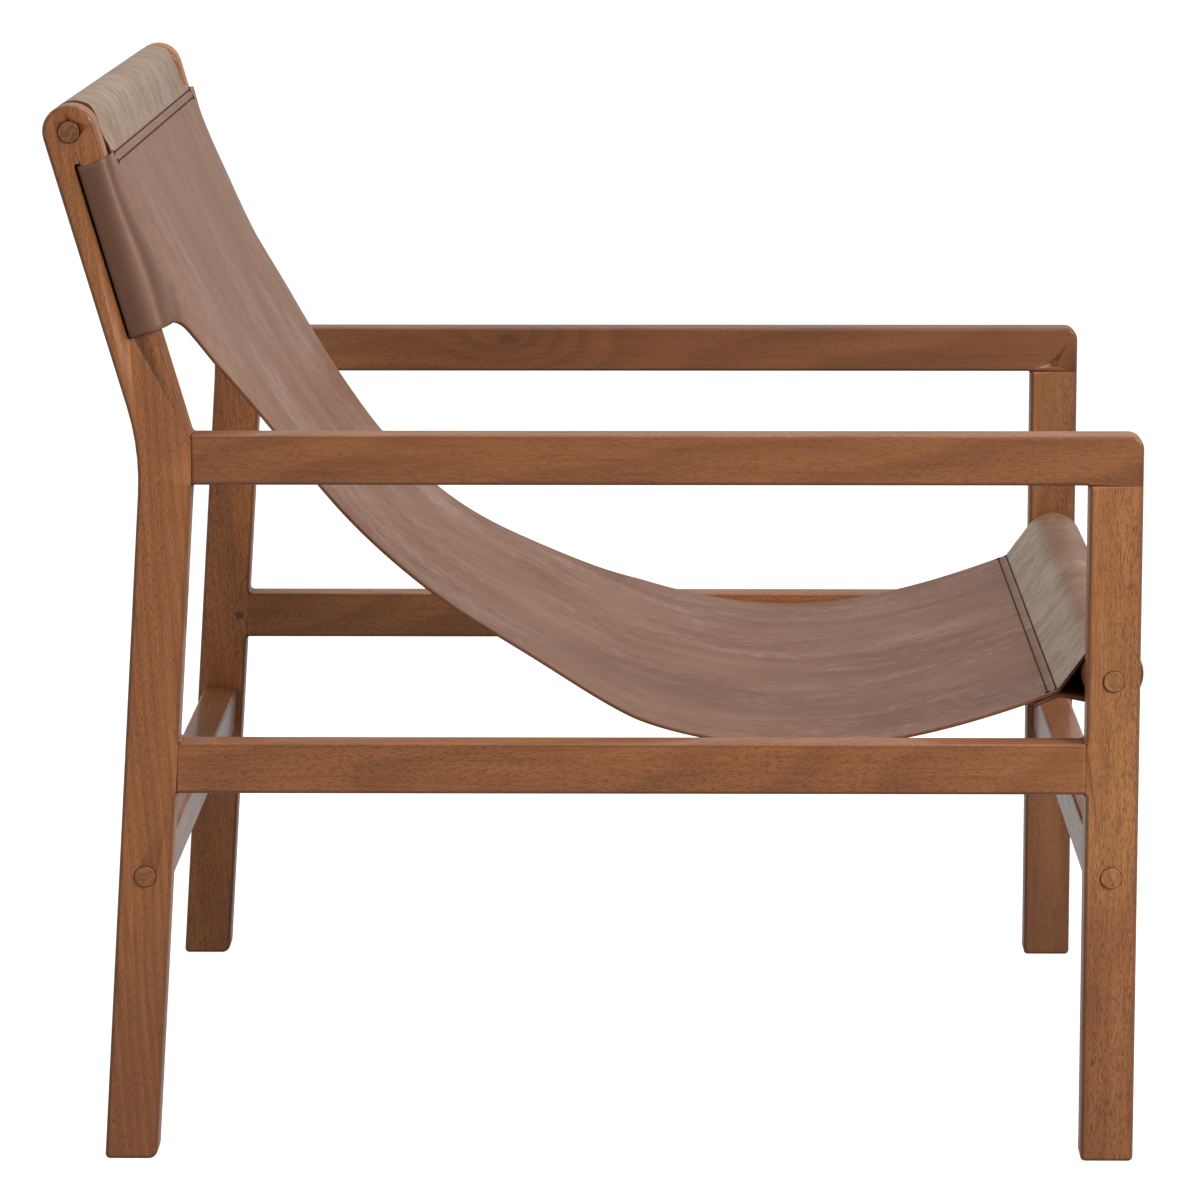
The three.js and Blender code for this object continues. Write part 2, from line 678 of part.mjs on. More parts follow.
function sling() {
  let sheet = solid(slingGeometry());
  for (const [, side] of sides) {
    for (const down of screwDowns) {
      sheet = sheet.subtract(screwHole(side, down, stock - fit, stock + leather + 2 * fit));
    }
  }
  return piece('leather_sling', sheet, hide());
}

const group = new THREE.Group();
group.name = 'lounge_chair';
for (const [label, side] of sides) group.add(sideFrame(label, side), hardware(label, side));
for (const member of members) group.add(crossMember(member));
group.add(sling());

// the origin is on the floor under the middle of the chair
const extent = new THREE.Box3().setFromObject(group);
const middle = extent.getCenter(new THREE.Vector3());
group.position.set(-middle.x, -middle.y, -extent.min.z);

export default group;
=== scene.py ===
import math

import bmesh
import bpy
import numpy as np
from mathutils import Euler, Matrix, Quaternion, Vector


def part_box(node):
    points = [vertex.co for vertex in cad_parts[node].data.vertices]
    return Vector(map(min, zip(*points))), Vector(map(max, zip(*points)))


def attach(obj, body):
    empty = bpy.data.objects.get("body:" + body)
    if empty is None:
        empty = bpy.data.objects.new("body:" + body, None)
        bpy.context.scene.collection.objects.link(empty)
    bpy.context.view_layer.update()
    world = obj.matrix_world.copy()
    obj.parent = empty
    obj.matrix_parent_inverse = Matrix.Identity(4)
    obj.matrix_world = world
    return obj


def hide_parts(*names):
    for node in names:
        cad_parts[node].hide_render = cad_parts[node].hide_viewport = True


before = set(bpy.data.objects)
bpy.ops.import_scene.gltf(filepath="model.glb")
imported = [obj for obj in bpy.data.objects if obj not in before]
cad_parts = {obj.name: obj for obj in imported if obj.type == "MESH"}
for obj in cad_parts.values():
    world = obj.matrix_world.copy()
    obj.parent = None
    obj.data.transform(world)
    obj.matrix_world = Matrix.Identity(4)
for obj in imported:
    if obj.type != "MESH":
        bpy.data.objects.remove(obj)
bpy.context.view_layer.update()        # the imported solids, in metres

mm = 0.001

# side views are in millimetres: d forward of the rear foot's back edge, h above the floor
chair = dict(depth=748.0, stock=27.0, legWidth=38.0, postLean=16.3, fit=0.3)
chairSides = {"right": -1, "left": 1}
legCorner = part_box("front_leg_right")[0]
frontEdge = legCorner.y
halfWidth = -legCorner.x / mm


def toWorld(x, d, h):
    return (x * mm, frontEdge + (chair["depth"] - d) * mm, h * mm)


def middleOf(node):
    low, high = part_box(node)
    return (low + high) / 2


def sideView(node):
    centre = middleOf(node)
    return np.array([chair["depth"] - (centre.y - frontEdge) / mm, centre.z / mm])


def toScene(thing):
    bpy.context.scene.collection.objects.link(thing)
    return thing


print("frame loaded:", len(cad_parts), "nodes, half width", round(halfWidth, 2), "mm")


# node helpers: a value that is a socket is linked, any other is set on the input itself
def feed(tree, node, inputs):
    for name, value in inputs.items():
        if isinstance(value, bpy.types.NodeSocket):
            tree.links.new(value, node.inputs[name])
        else:
            node.inputs[name].default_value = value


def addNode(tree, kind, inputs=None, **settings):
    node = tree.nodes.new(kind)
    for name, value in settings.items():
        setattr(node, name, value)
    feed(tree, node, inputs or {})
    return node


def calc(tree, operation, first, second=0.0, clamp=False):
    node = addNode(tree, "ShaderNodeMath", {0: first, 1: second}, operation=operation, use_clamp=clamp)
    return node.outputs[0]


def times(tree, first, second, clamp=False):
    return calc(tree, "MULTIPLY", first, second, clamp)


def chain(tree, operation, first, *others, clamp=False):
    for value in others[:-1]:
        first = calc(tree, operation, first, value)
    return calc(tree, operation, first, others[-1], clamp)


def vectorCalc(tree, operation, first, second=(0, 0, 0)):
    node = addNode(tree, "ShaderNodeVectorMath", {0: first, 1: second}, operation=operation)
    return node.outputs["Value" if operation in ("LENGTH", "DOT_PRODUCT") else "Vector"]


def noiseOf(tree, vector, scale, detail=2.0, rough=0.5, bend=0.0):
    stretched = vectorCalc(tree, "MULTIPLY", vector, scale)
    node = addNode(tree, "ShaderNodeTexNoise", {
        "Vector": stretched, "Scale": 1.0, "Detail": detail, "Roughness": rough, "Distortion": bend})
    return node.outputs[0]


noiseMiddle = 0.5


# a noise as a swing to both sides of nothing
def swing(tree, noise, weight):
    return times(tree, calc(tree, "SUBTRACT", noise, noiseMiddle), weight)


def between(tree, value, low, high, toLow=0.0, toHigh=1.0):
    node = addNode(tree, "ShaderNodeMapRange", {
        "Value": value, "From Min": low, "From Max": high, "To Min": toLow, "To Max": toHigh,
    }, interpolation_type="SMOOTHSTEP")
    return node.outputs[0]


def blend(tree, factor, first, second):
    node = addNode(tree, "ShaderNodeMix", {0: factor, 6: first, 7: second}, data_type="RGBA")
    return node.outputs[2]        # the colour sockets have numbers, their names are shared


def bumpOf(tree, height, strength, distance):
    node = addNode(tree, "ShaderNodeBump", {"Strength": strength, "Distance": distance, "Height": height})
    return node.outputs["Normal"]


def objectPlace(tree):
    return addNode(tree, "ShaderNodeTexCoord").outputs["Object"]


def attributeOf(tree, name):
    return addNode(tree, "ShaderNodeAttribute", attribute_name=name).outputs["Fac"]


# sockets are given as name, kind and, where it matters, a value to start from
def newGroup(name, inputs, outputs, kind="ShaderNodeTree"):
    tree = bpy.data.node_groups.new(name, kind)
    for socketName, socketKind, *start in inputs:
        socket = tree.interface.new_socket(socketName, in_out="INPUT", socket_type="NodeSocket" + socketKind)
        if start:
            socket.default_value = start[0]
    for socketName, socketKind in outputs:
        tree.interface.new_socket(socketName, in_out="OUTPUT", socket_type="NodeSocket" + socketKind)
    return tree, tree.nodes.new("NodeGroupInput").outputs, tree.nodes.new("NodeGroupOutput").inputs


surfaceOutputs = (("Color", "Color"), ("Roughness", "Float"), ("Height", "Float"))


def putSurface(tree, put, colour, roughness, height):
    for name, value in (("Color", colour), ("Roughness", roughness), ("Height", height)):
        tree.links.new(value, put[name])


# oiled hardwood: growth rings, fibre streaks and open pores, with the grain along X of the given vector
grainLook = dict(
    noises=dict(
        drift=dict(scale=(2.2, 9, 9)),
        fibre=dict(scale=(11, 330, 330), detail=3, rough=0.6),
        fineFibre=dict(scale=(30, 1100, 1100), rough=0.6),
        blotch=dict(scale=(4, 26, 26), detail=3, rough=0.55),
        flame=dict(scale=(2.5, 60, 60), bend=0.6),
        fleck=dict(scale=(260, 1450, 1450), detail=1.5),
        line=dict(scale=(16, 520, 520)),
    ),
    # the low weight darkens the wood towards the floor: painted shade
    weights=dict(ring=0.32, fibre=0.9, fineFibre=0.4, flame=0.5, swirl=0.35, low=0.48),
    blotchTone=(0.3, 0.7, 0.16, 0.42),
    ringStretch=(0.05, 1, 1), ringRise=(0.2, 0.8), ringFall=(0.8, 1.0, 1.0, 0.0),
    noKnot=(100, 0, 0), knotSize=0.01, knotStretch=(0.5, 1, 1), knotFade=-0.35,
    # knots have a dark core; rounded edges get painted shade
    knotCore=(0.1, 0.45, 1.0, 0.0), knotStain=0.75, edgeShadeStrength=0.5,
    flecks=(0.47, 0.65), fleckCrowd=(0.3, 0.65, 0.5, 1.0), lines=(0.58, 0.7), lineShare=0.6,
    matt=(0.3, 0.7, 0.4, 0.5), poreMatt=0.2, fibreLift=0.35, poreDip=0.8,
)


def grainGroup():
    look = grainLook
    tree, given, put = newGroup("oiledGrain", [
        ("Vector", "Vector"), ("Light", "Color"), ("Dark", "Color"), ("Pore", "Color"),
        ("Ring Spacing", "Float"), ("Wander", "Float"), ("Pore Amount", "Float"),
        ("Knot", "Vector", look["noKnot"]), ("Knot Size", "Float", look["knotSize"]),
        ("Edge", "Float"), ("Low", "Float"),
    ], surfaceOutputs)
    vector = given["Vector"]
    noises = {name: noiseOf(tree, vector, **noise) for name, noise in look["noises"].items()}

    fromKnot = vectorCalc(tree, "SUBTRACT", vector, given["Knot"])
    knotAway = vectorCalc(tree, "LENGTH", vectorCalc(tree, "MULTIPLY", fromKnot, look["knotStretch"]))
    knotAway = calc(tree, "DIVIDE", knotAway, given["Knot Size"])
    swirl = calc(tree, "EXPONENT", chain(tree, "MULTIPLY", knotAway, knotAway, look["knotFade"]))
    knotStain = times(tree, between(tree, knotAway, *look["knotCore"]), look["knotStain"])

    radius = vectorCalc(tree, "LENGTH", vectorCalc(tree, "MULTIPLY", vector, look["ringStretch"]))
    drift = swing(tree, noises["drift"], given["Wander"])
    wandered = chain(tree, "ADD", radius, drift, times(tree, swirl, given["Knot Size"]))
    phase = calc(tree, "FRACT", calc(tree, "DIVIDE", wandered, given["Ring Spacing"]))
    ring = times(tree, between(tree, phase, *look["ringRise"]), between(tree, phase, *look["ringFall"]))

    crowd = between(tree, noises["blotch"], *look["fleckCrowd"])
    flecks = times(tree, between(tree, noises["fleck"], *look["flecks"]), crowd)
    lines = between(tree, noises["line"], *look["lines"])
    pores = calc(tree, "MAXIMUM", flecks, times(tree, lines, look["lineShare"]))

    weights = look["weights"]
    # the tone also takes painted shade towards the floor
    tone = chain(
        tree, "ADD", times(tree, ring, weights["ring"]),
        *(swing(tree, noises[name], weights[name]) for name in ("fibre", "fineFibre", "flame")),
        between(tree, noises["blotch"], *look["blotchTone"]),
        times(tree, swirl, weights["swirl"]), times(tree, given["Low"], weights["low"]), clamp=True)
    body = blend(tree, tone, given["Light"], given["Dark"])
    # painted shade on the rounded edges, towards the pore colour
    edgeShadeStrength = times(tree, given["Edge"], look["edgeShadeStrength"])
    body = blend(tree, calc(tree, "MAXIMUM", knotStain, edgeShadeStrength), body, given["Pore"])
    colour = blend(tree, times(tree, pores, given["Pore Amount"]), body, given["Pore"])

    matt = between(tree, noises["fibre"], *look["matt"])
    matt = calc(tree, "ADD", matt, times(tree, pores, look["poreMatt"]))
    fibreLift = times(tree, noises["fibre"], look["fibreLift"])
    lift = calc(tree, "SUBTRACT", fibreLift, times(tree, pores, look["poreDip"]))
    putSurface(tree, put, colour, matt, lift)
    return tree


# smooth hide: soft mottling drawn out along the sheet; painted sheen with some stretched pallor on the loops,
# painted shade and a painted highlight on the flaps' folds, painted shade in fine creases
hideLook = dict(
    noises=dict(
        fine=dict(scale=(190, 105, 1), rough=0.6),
        wide=dict(scale=(44, 18, 1), detail=3, rough=0.6),
        band=dict(scale=(22, 4, 1), detail=3, rough=0.55),
        cloud=dict(scale=(9, 6, 1), detail=3),
        fold=dict(scale=(46, 9, 1), bend=0.7),
        pebble=dict(scale=(1500, 1500, 1), rough=0.6),
    ),
    weights=dict(fine=0.95, wide=1.0, cloud=1.3, band=0.7),
    waver=dict(scale=(8, 15, 1)), waverReach=0.022,
    patches=dict(scale=(10, 7, 1)), patchSpan=(0.38, 0.62, 0.3, 1.15),
    flapCalm=(0.296, 0.316, 1.0, 0.3), backCalm=(0.2, 0.45, 0.4, 0.92), loopLively=1.8,
    seatTone=(0.3, 0.8, 0.08, -0.09), paler=1.4, deeper=-1.3, drawn=(0.8, 1.2, 0.5, 1.0),
    creaseWidth=(0.0, 0.02, 1.0, 0.0), creaseWhere=(0.45, 0.7), creaseShade=0.6, creaseDip=0.5,
    matt=(-0.35, 0.35, 0.5, 0.36), pebbleMatt=0.08, foldShine=0.12, pebbleLift=0.3, fineLift=0.45,
)


def hideGroup():
    look = hideLook
    tree, given, put = newGroup("drawnHide", [
        ("Vector", "Vector"), ("Base", "Color"), ("Pale", "Color"), ("Deep", "Color"), ("Bent", "Color"),
        ("Streak", "Float"), ("Crease", "Float"), ("Bend", "Float"),
    ], surfaceOutputs)
    plain = given["Vector"]
    waver = swing(tree, noiseOf(tree, plain, **look["waver"]), look["waverReach"])
    aside = addNode(tree, "ShaderNodeCombineXYZ", {"X": waver}).outputs[0]
    vector = vectorCalc(tree, "ADD", plain, aside)
    noises = {name: noiseOf(tree, vector, **noise) for name, noise in look["noises"].items()}
    swings = {name: swing(tree, noises[name], weight) for name, weight in look["weights"].items()}

    # the flaps and the upper back are calmer than the seat and the loops
    flatPlace = addNode(tree, "ShaderNodeSeparateXYZ", {0: plain}).outputs
    patch = between(tree, noiseOf(tree, plain, **look["patches"]), *look["patchSpan"])
    patch = times(tree, patch, between(tree, calc(tree, "ABSOLUTE", flatPlace["X"]), *look["flapCalm"]))
    looped = times(tree, given["Bend"], look["loopLively"], True)
    lively = calc(tree, "MAXIMUM", between(tree, flatPlace["Y"], *look["backCalm"]), looped)

    # fine creases from a noise: painted shade in them, and a dip in the bump
    crease = calc(tree, "ABSOLUTE", calc(tree, "SUBTRACT", noises["fold"], noiseMiddle))
    crease = chain(tree, "MULTIPLY", between(tree, crease, *look["creaseWidth"]),
                   between(tree, noises["wide"], *look["creaseWhere"]), given["Crease"])

    streaks = calc(tree, "ADD", swings["fine"], swings["wide"])
    streaks = chain(tree, "MULTIPLY", streaks, patch, given["Streak"])
    tone = times(tree, chain(tree, "ADD", streaks, swings["cloud"], swings["band"]), lively)
    tone = calc(tree, "ADD", tone, between(tree, flatPlace["Y"], *look["seatTone"]))
    colour = blend(tree, times(tree, tone, look["paler"], True), given["Base"], given["Pale"])
    colour = blend(tree, times(tree, tone, look["deeper"], True), colour, given["Deep"])
    # on the loops the colour turns paler and greyer: painted sheen, with some stretched pallor
    drawn = between(tree, calc(tree, "ADD", noises["fine"], noises["wide"]), *look["drawn"])
    stretched = times(tree, calc(tree, "MAXIMUM", given["Bend"], 0.0), drawn, True)
    colour = blend(tree, stretched, colour, given["Bent"])
    # where the sheet's attribute is below nothing: painted shade on the flaps' folds, lessened at the fold's
    # corner as a painted highlight
    foldPaintedShade = calc(tree, "MAXIMUM", times(tree, given["Bend"], -1.0), 0.0)
    shaded = calc(tree, "MAXIMUM", times(tree, crease, look["creaseShade"]), foldPaintedShade)
    colour = blend(tree, shaded, colour, given["Deep"])

    matt = between(tree, tone, *look["matt"])
    matt = calc(tree, "ADD", matt, times(tree, noises["pebble"], look["pebbleMatt"]))
    matt = calc(tree, "SUBTRACT", matt, times(tree, foldPaintedShade, look["foldShine"]))
    fineLift = chain(tree, "MULTIPLY", noises["fine"], patch, look["fineLift"])
    lift = calc(tree, "ADD", times(tree, noises["pebble"], look["pebbleLift"]), fineLift)
    lift = calc(tree, "SUBTRACT", lift, times(tree, crease, look["creaseDip"]))
    putSurface(tree, put, colour, matt, lift)
    return tree


oiledGrain = grainGroup()
drawnHide = hideGroup()


def newMaterial(name):
    material = bpy.data.materials.new(name)
    material.use_nodes = True
    tree = material.node_tree
    tree.nodes.clear()
    shader = addNode(tree, "ShaderNodeBsdfPrincipled")
    addNode(tree, "ShaderNodeOutputMaterial", {"Surface": shader.outputs["BSDF"]})
    return material, tree, shader


def useGroup(tree, shader, group, inputs, bumpStrength, bumpDistance):
    made = addNode(tree, "ShaderNodeGroup", inputs, node_tree=group).outputs
    feed(tree, shader, {
        "Base Color": made["Color"], "Roughness": made["Roughness"],
        "Normal": bumpOf(tree, made["Height"], bumpStrength, bumpDistance)})


# one entry for each wooden member: where its grain runs, which part of the log it comes from, how pale it is,
# painted light and shade included
woodTone = dict(Light=(0.465, 0.17, 0.055), Dark=(0.26, 0.088, 0.026))
grainTurns = {          # turns that bring a member's grain to X
    "along": (0, 0, -math.pi / 2),
    "upright": (0, math.pi / 2, 0),
    "leaning": (math.radians(5), math.pi / 2, 0.02),
    "across": (0, 0, 0),
}
# paleness is set member by member: besides each member's own tone, the far arm and far front leg are darkened
# as painted shade, the far rear post is paled as painted light, and the front legs are tinted yellower as
# painted warm light from the front
woodMembers = {
    "rear_post_right": dict(grain="leaning", shade=1.03, log=(0.3, 0.34, 0.052), spacing=0.0065),
    "rear_post_left": dict(grain="leaning", shade=1.46, log=(1.7, -0.3, 0.06), spacing=0.006),
    "front_leg_right": dict(grain="upright", shade=1.2, log=(2.1, 0.41, 0.36), spacing=0.0062, pores=0.76,
                            warm=(1, 1.17, 1.24)),
    "front_leg_left": dict(grain="upright", shade=0.81, log=(3.3, 0.45, -0.26), spacing=0.007, pores=0.76,
                           warm=(1, 1.14, 1.14)),
    "armrest_right": dict(grain="along", shade=0.84, log=(4.2, -0.36, -0.47), spacing=0.0075, pores=0.5),
    "armrest_left": dict(grain="along", shade=0.62, log=(5.8, 0.35, -0.44), spacing=0.0062,
                         knot=(0.303, 0.084, 0.523), knotSize=0.016),
    "seat_rail_right": dict(grain="along", shade=0.91, log=(6.9, -0.385, -0.25), spacing=0.0062),
    "seat_rail_left": dict(grain="along", shade=0.95, log=(7.9, 0.37, -0.22), spacing=0.0065),
    "rear_stretcher": dict(grain="across", shade=1.0, log=(8.3, -0.30, -0.17), spacing=0.0062, polish=0.5),
    "front_stretcher": dict(grain="across", shade=1.0, log=(9.6, 0.41, -0.25), spacing=0.007, polish=0.5),
    "top_back_bar": dict(grain="across", shade=0.85, log=(10.5, -0.35, -0.7), spacing=0.005),
    "front_seat_bar": dict(grain="across", shade=0.85, log=(11.2, 0.4, -0.33), spacing=0.005),
}
# the height below which painted shade darkens the wood, and how the painted shade on rounded edges lessens on
# faces that look up, are set here
woodFinish = dict(
    poreColour=(0.115, 0.038, 0.015, 1), wander=0.03, specular=0.45, coatRoughness=0.14, paintedShadeHeight=0.32,
    bumpStrength=0.25, bumpDistance=0.0004, weld=2e-6, sharpAngle=50, evenWeight=90,
    sameWay=0.9995, broadShare=0.02, sideTurn=0.05, shadeOffTop=(1.6, 2),
)


def woodMaterial(name, grain, shade, log, spacing, pores=0.62, polish=0.22, knot=None, knotSize=0.01,
                 warm=(1, 1, 1)):
    material, tree, shader = newMaterial(name)
    place = objectPlace(tree)
    turned = addNode(tree, "ShaderNodeMapping", {
        "Vector": place, "Rotation": grainTurns[grain], "Location": log}).outputs[0]
    height = addNode(tree, "ShaderNodeSeparateXYZ", {0: place}).outputs["Z"]
    inputs = {
        "Vector": turned, "Pore": woodFinish["poreColour"], "Ring Spacing": spacing,
        "Wander": woodFinish["wander"], "Pore Amount": pores, "Knot Size": knotSize,
        # painted shade: on rounded edges, and towards the floor
        "Edge": attributeOf(tree, "roundedEdgeShade"),
        "Low": between(tree, height, 0.0, woodFinish["paintedShadeHeight"], 1.0, 0.0),
    }
    inputs.update({key: (*(value * shade for value in colour), 1) for key, colour in woodTone.items()})
    # a yellower Light colour on the front legs: painted warm light from the front
    inputs["Light"] = (*(value * more for value, more in zip(inputs["Light"], warm)), 1)
    if knot:
        inputs["Knot"] = Euler(grainTurns[grain]).to_matrix() @ Vector(knot) + Vector(log)
    useGroup(tree, shader, oiledGrain, inputs, woodFinish["bumpStrength"], woodFinish["bumpDistance"])
    feed(tree, shader, {
        "Specular IOR Level": woodFinish["specular"],
        "Coat Weight": polish, "Coat Roughness": woodFinish["coatRoughness"]})
    return material


# painted shade on rounded edges: 1 on faces that round an edge, 0 on broad faces, where much of the surface
# shares one direction, and less on faces that look up, so it is most where edges face sideways or down; the
# curves of a side frame's own outline, which turn to neither side, don't count
def markEdgeShade(mesh, inSideFrame):
    count = len(mesh.polygons)
    normals, areas = np.zeros(count * 3), np.zeros(count)
    mesh.polygons.foreach_get("normal", normals)
    mesh.polygons.foreach_get("area", areas)
    normals = normals.reshape(-1, 3)
    shared = ((normals @ normals.T > woodFinish["sameWay"]) * areas[None, :]).sum(axis=1)
    most, slope = woodFinish["shadeOffTop"]
    roundedEdgeShade = (shared < areas.sum() * woodFinish["broadShare"]) * np.clip(most - slope * normals[:, 2], 0, 1)
    if inSideFrame:
        roundedEdgeShade *= np.abs(normals[:, 0]) > woodFinish["sideTurn"]
    mesh.attributes.new("roundedEdgeShade", "FLOAT", "FACE").data.foreach_set("value", roundedEdgeShade.astype(np.float32))


def shadeSmooth(mesh, sharpAngle=None):
    mesh.polygons.foreach_set("use_smooth", [True] * len(mesh.polygons))
    if sharpAngle is not None:
        mesh.set_sharp_from_angle(angle=math.radians(sharpAngle))


def newPiece(name, mesh, materials):
    piece = toScene(bpy.data.objects.new(name, mesh))
    mesh.materials.clear()
    for material in materials:
        mesh.materials.append(material)
    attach(piece, "root")
    return piece


def camel(name):
    first, *rest = name.split("_")
    return first + "".join(word.capitalize() for word in rest)


def buildWood():
    for node, member in woodMembers.items():
        mesh = bpy.data.meshes.new(camel(node))
        body = bmesh.new()
        body.from_mesh(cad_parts[node].data)
        bmesh.ops.remove_doubles(body, verts=body.verts, dist=woodFinish["weld"])
        body.to_mesh(mesh)
        body.free()
        shadeSmooth(mesh, woodFinish["sharpAngle"])
        if not node.endswith("_bar"):
            markEdgeShade(mesh, member["grain"] != "across")
        piece = newPiece(camel(node), mesh, [woodMaterial(camel(node) + "Wood", **member)])
        even = piece.modifiers.new("evenShading", "WEIGHTED_NORMAL")
        even.keep_sharp = True
        even.weight = woodFinish["evenWeight"]
        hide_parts(node)
    print("wooden members:", len(woodMembers))


buildWood()


# leather sling: one sheet from the upper hem over the top bar, down the back, along the seat and round the
# front bar to the lower hem
sling = dict(
    leather=2.5, sideGap=4.0, edgeSwell=0.45, edgeTurns=(90, 50, 0, -50, -90),
    hemTail=19.0, hemBend=5.0, hemOpen=1.2, hemEase=8.0, seatHemReach=40.0, seatHemAngle=19.4,
    loopSlack=0.5, loopInset=11.0, seamEase=6.0, crownTurn=75.0, crownPull=0.39, crownReach=38.0,
    endTuck=3.6, tuckFade=11.0,
    backStartLean=25.5, waist=(176.5, 277.0), waistLean=38.0, hollow=(219.0, 54.0), seatEndRise=20.5,
    lift=(4.6, 488.0, 66.0),        # how high, how far down the panel, how wide
    scoopStart=189.0, scoopDepth=84.0, scoopLength=404.0, scoopEase=9.0, scoopIn=25.0, scoopOut=60.0,
    edgeStep=3.0, edgeZone=63.0, middleStep=15.0, loopStep=2.4, panelStep=5.0,
)
flap = dict(
    start=24.5, end=151.0, notchDrop=9.5, notchReach=11.0, tail=12.0, slotPlay=1.05, slotSetback=0.45,
    slotDrop=1.8, dropFrom=(34.0, 50.0), dropTo=(60.0, 52.0),
    foldFrom=-4.6, foldLift=1.5, foldPull=0.42, crispPull=(0.27, 0.42), softens=(60.0, 120.0),
    ridgeAhead=(2.6, 8.5), ridgeRise=(15.0, 100.0), ridgeDepth=(8.3, 19.0), ridgePower=0.9,
    pullReach=(22.0, 60.0), pullRise=(0.0, 70.0), pullPower=1.8, pullFade=46.0,
    rows=42, panelPoints=6, foldPoints=18, facePoints=6, cornerPoints=6, slotPoints=5, tailPoints=5,
)
furrows = dict(height=0.75, width=17.0, rise=(170.0, 250.0), fall=(400.0, 300.0), fade=45.0, slant=60.0)
# how much painted sheen and stretched pallor each loop gets
loopSheenAndPallor = dict(upper=0.54, upperBlend=3.0, lower=0.15, lowerFrom=(-2.0, 3.0), crest=0.95, crestReach=44.0,
                crestFade=14.0)
# painted shade in the fold's valley and on the flap's face, with a painted highlight at the fold's corner
foldPaintedLight = dict(shade=0.84, lowValley=0.8, valleyFrom=(85.0, 135.0), valleyColumns=(5, 9), worn=0.9,
                highlightColumn=20, highlightWidth=3.2, face=0.12, faceColumns=(22, 28), sheetReach=50.0, sheetFade=4.0)
sampling = dict(curve=240, panel=2400, crown=60, hem=12, arcStep=0.8, cornerGap=0.5)


def barRadius(node):
    low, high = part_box(node)
    return (high.z - low.z) / 2 / mm


# a direction in the side view, turned forward from straight down
def heading(lean):
    return np.array([math.sin(math.radians(lean)), -math.cos(math.radians(lean))])


topBar = sideView("top_back_bar")
seatBar = sideView("front_seat_bar")
postDown = heading(chair["postLean"])
postAhead = np.array([-postDown[1], postDown[0]])
half = sling["leather"] / 2
layerStep = sling["leather"] + chair["fit"]
lieOff = chair["fit"] + half            # middle of the leather over the wood it lies on
straightInset = chair["stock"] + sling["sideGap"]


def onPost(down, ahead):
    return topBar + postDown * down + postAhead * (chair["legWidth"] / 2 + ahead)


def downPost(points):
    return (points - topBar) @ postDown


def aheadOfPost(points):
    return (points - topBar) @ postAhead - chair["legWidth"] / 2


def onCircle(centre, radius, angle):
    return centre + radius * np.array([math.cos(angle), math.sin(angle)])


def bezier(start, startHeading, end, endHeading, pull=1 / 3, count=sampling["curve"]):
    handle = np.linalg.norm(end - start) * pull
    t = np.linspace(0, 1, count)[:, None]
    a, b = start + startHeading * handle, end - endHeading * handle
    return start * (1 - t) ** 3 + a * 3 * t * (1 - t) ** 2 + b * 3 * t ** 2 * (1 - t) + end * t ** 3


def lengthsOf(points):
    return np.concatenate([[0], np.cumsum(np.linalg.norm(np.diff(points, axis=0), axis=1))])


def alongLine(points, lengths, at):
    return np.stack([np.interp(at, lengths, points[:, k]) for k in range(points.shape[1])], axis=1)


def aheadNormals(points):
    steps = np.gradient(points, axis=0)
    steps /= np.linalg.norm(steps, axis=1)[:, None]
    return np.stack([-steps[:, 1], steps[:, 0]], axis=1)


def ease(value, low, high):
    t = np.clip((value - low) / (high - low), 0, 1)
    return t * t * (3 - 2 * t)


# the panel in the side view: back, waist, hollow and seat, between the two seams
upperSeam = onPost(flap["start"], lieOff)
lowerSeam = onCircle(seatBar, -sling["seatHemReach"], math.radians(sling["seatHemAngle"]))
waistPoint = topBar + np.array([sling["waist"][0], -sling["waist"][1]])
hollowPoint = seatBar - np.array(sling["hollow"])
panelRaw = np.concatenate([
    bezier(upperSeam, heading(sling["backStartLean"]), waistPoint, heading(sling["waistLean"])),
    bezier(waistPoint, heading(sling["waistLean"]), hollowPoint, heading(90))[1:],
    bezier(hollowPoint, heading(90), lowerSeam, heading(90 + sling["seatEndRise"]))[1:],
])
# the seat's bend is flatter than its curves: a low rise around one place
liftHeight, liftAt, liftWide = sling["lift"]
lifted = liftHeight * np.exp(-((lengthsOf(panelRaw) - liftAt) / liftWide) ** 2)
panelRaw = panelRaw + aheadNormals(panelRaw) * lifted[:, None]
panelLength = lengthsOf(panelRaw)[-1]
panelAlong = np.linspace(0, panelLength, sampling["panel"])
panelFine = alongLine(panelRaw, lengthsOf(panelRaw), panelAlong)
panelNormals = aheadNormals(panelFine)


def panelAt(distance):
    at = np.atleast_1d(distance)
    return alongLine(panelFine, panelAlong, at), alongLine(panelNormals, panelAlong, at)


def distanceDown(down):
    return np.interp(down, downPost(panelFine), panelAlong)


def tangentPoint(start, centre, radius, turn):
    gap = start - centre
    angle = math.atan2(gap[1], gap[0]) + turn * math.acos(radius / np.linalg.norm(gap))
    return onCircle(centre, radius, angle)


def arcBetween(centre, radius, first, last, clockwise=True):
    a = math.atan2(*(first - centre)[::-1])
    sweep = (math.atan2(*(last - centre)[::-1]) - a) % (2 * math.pi)
    if clockwise:
        sweep -= 2 * math.pi
    t = a + sweep * np.linspace(0, 1, max(4, int(abs(sweep) * radius / sampling["arcStep"])))
    return centre + radius * np.stack([np.cos(t), np.sin(t)], axis=1)


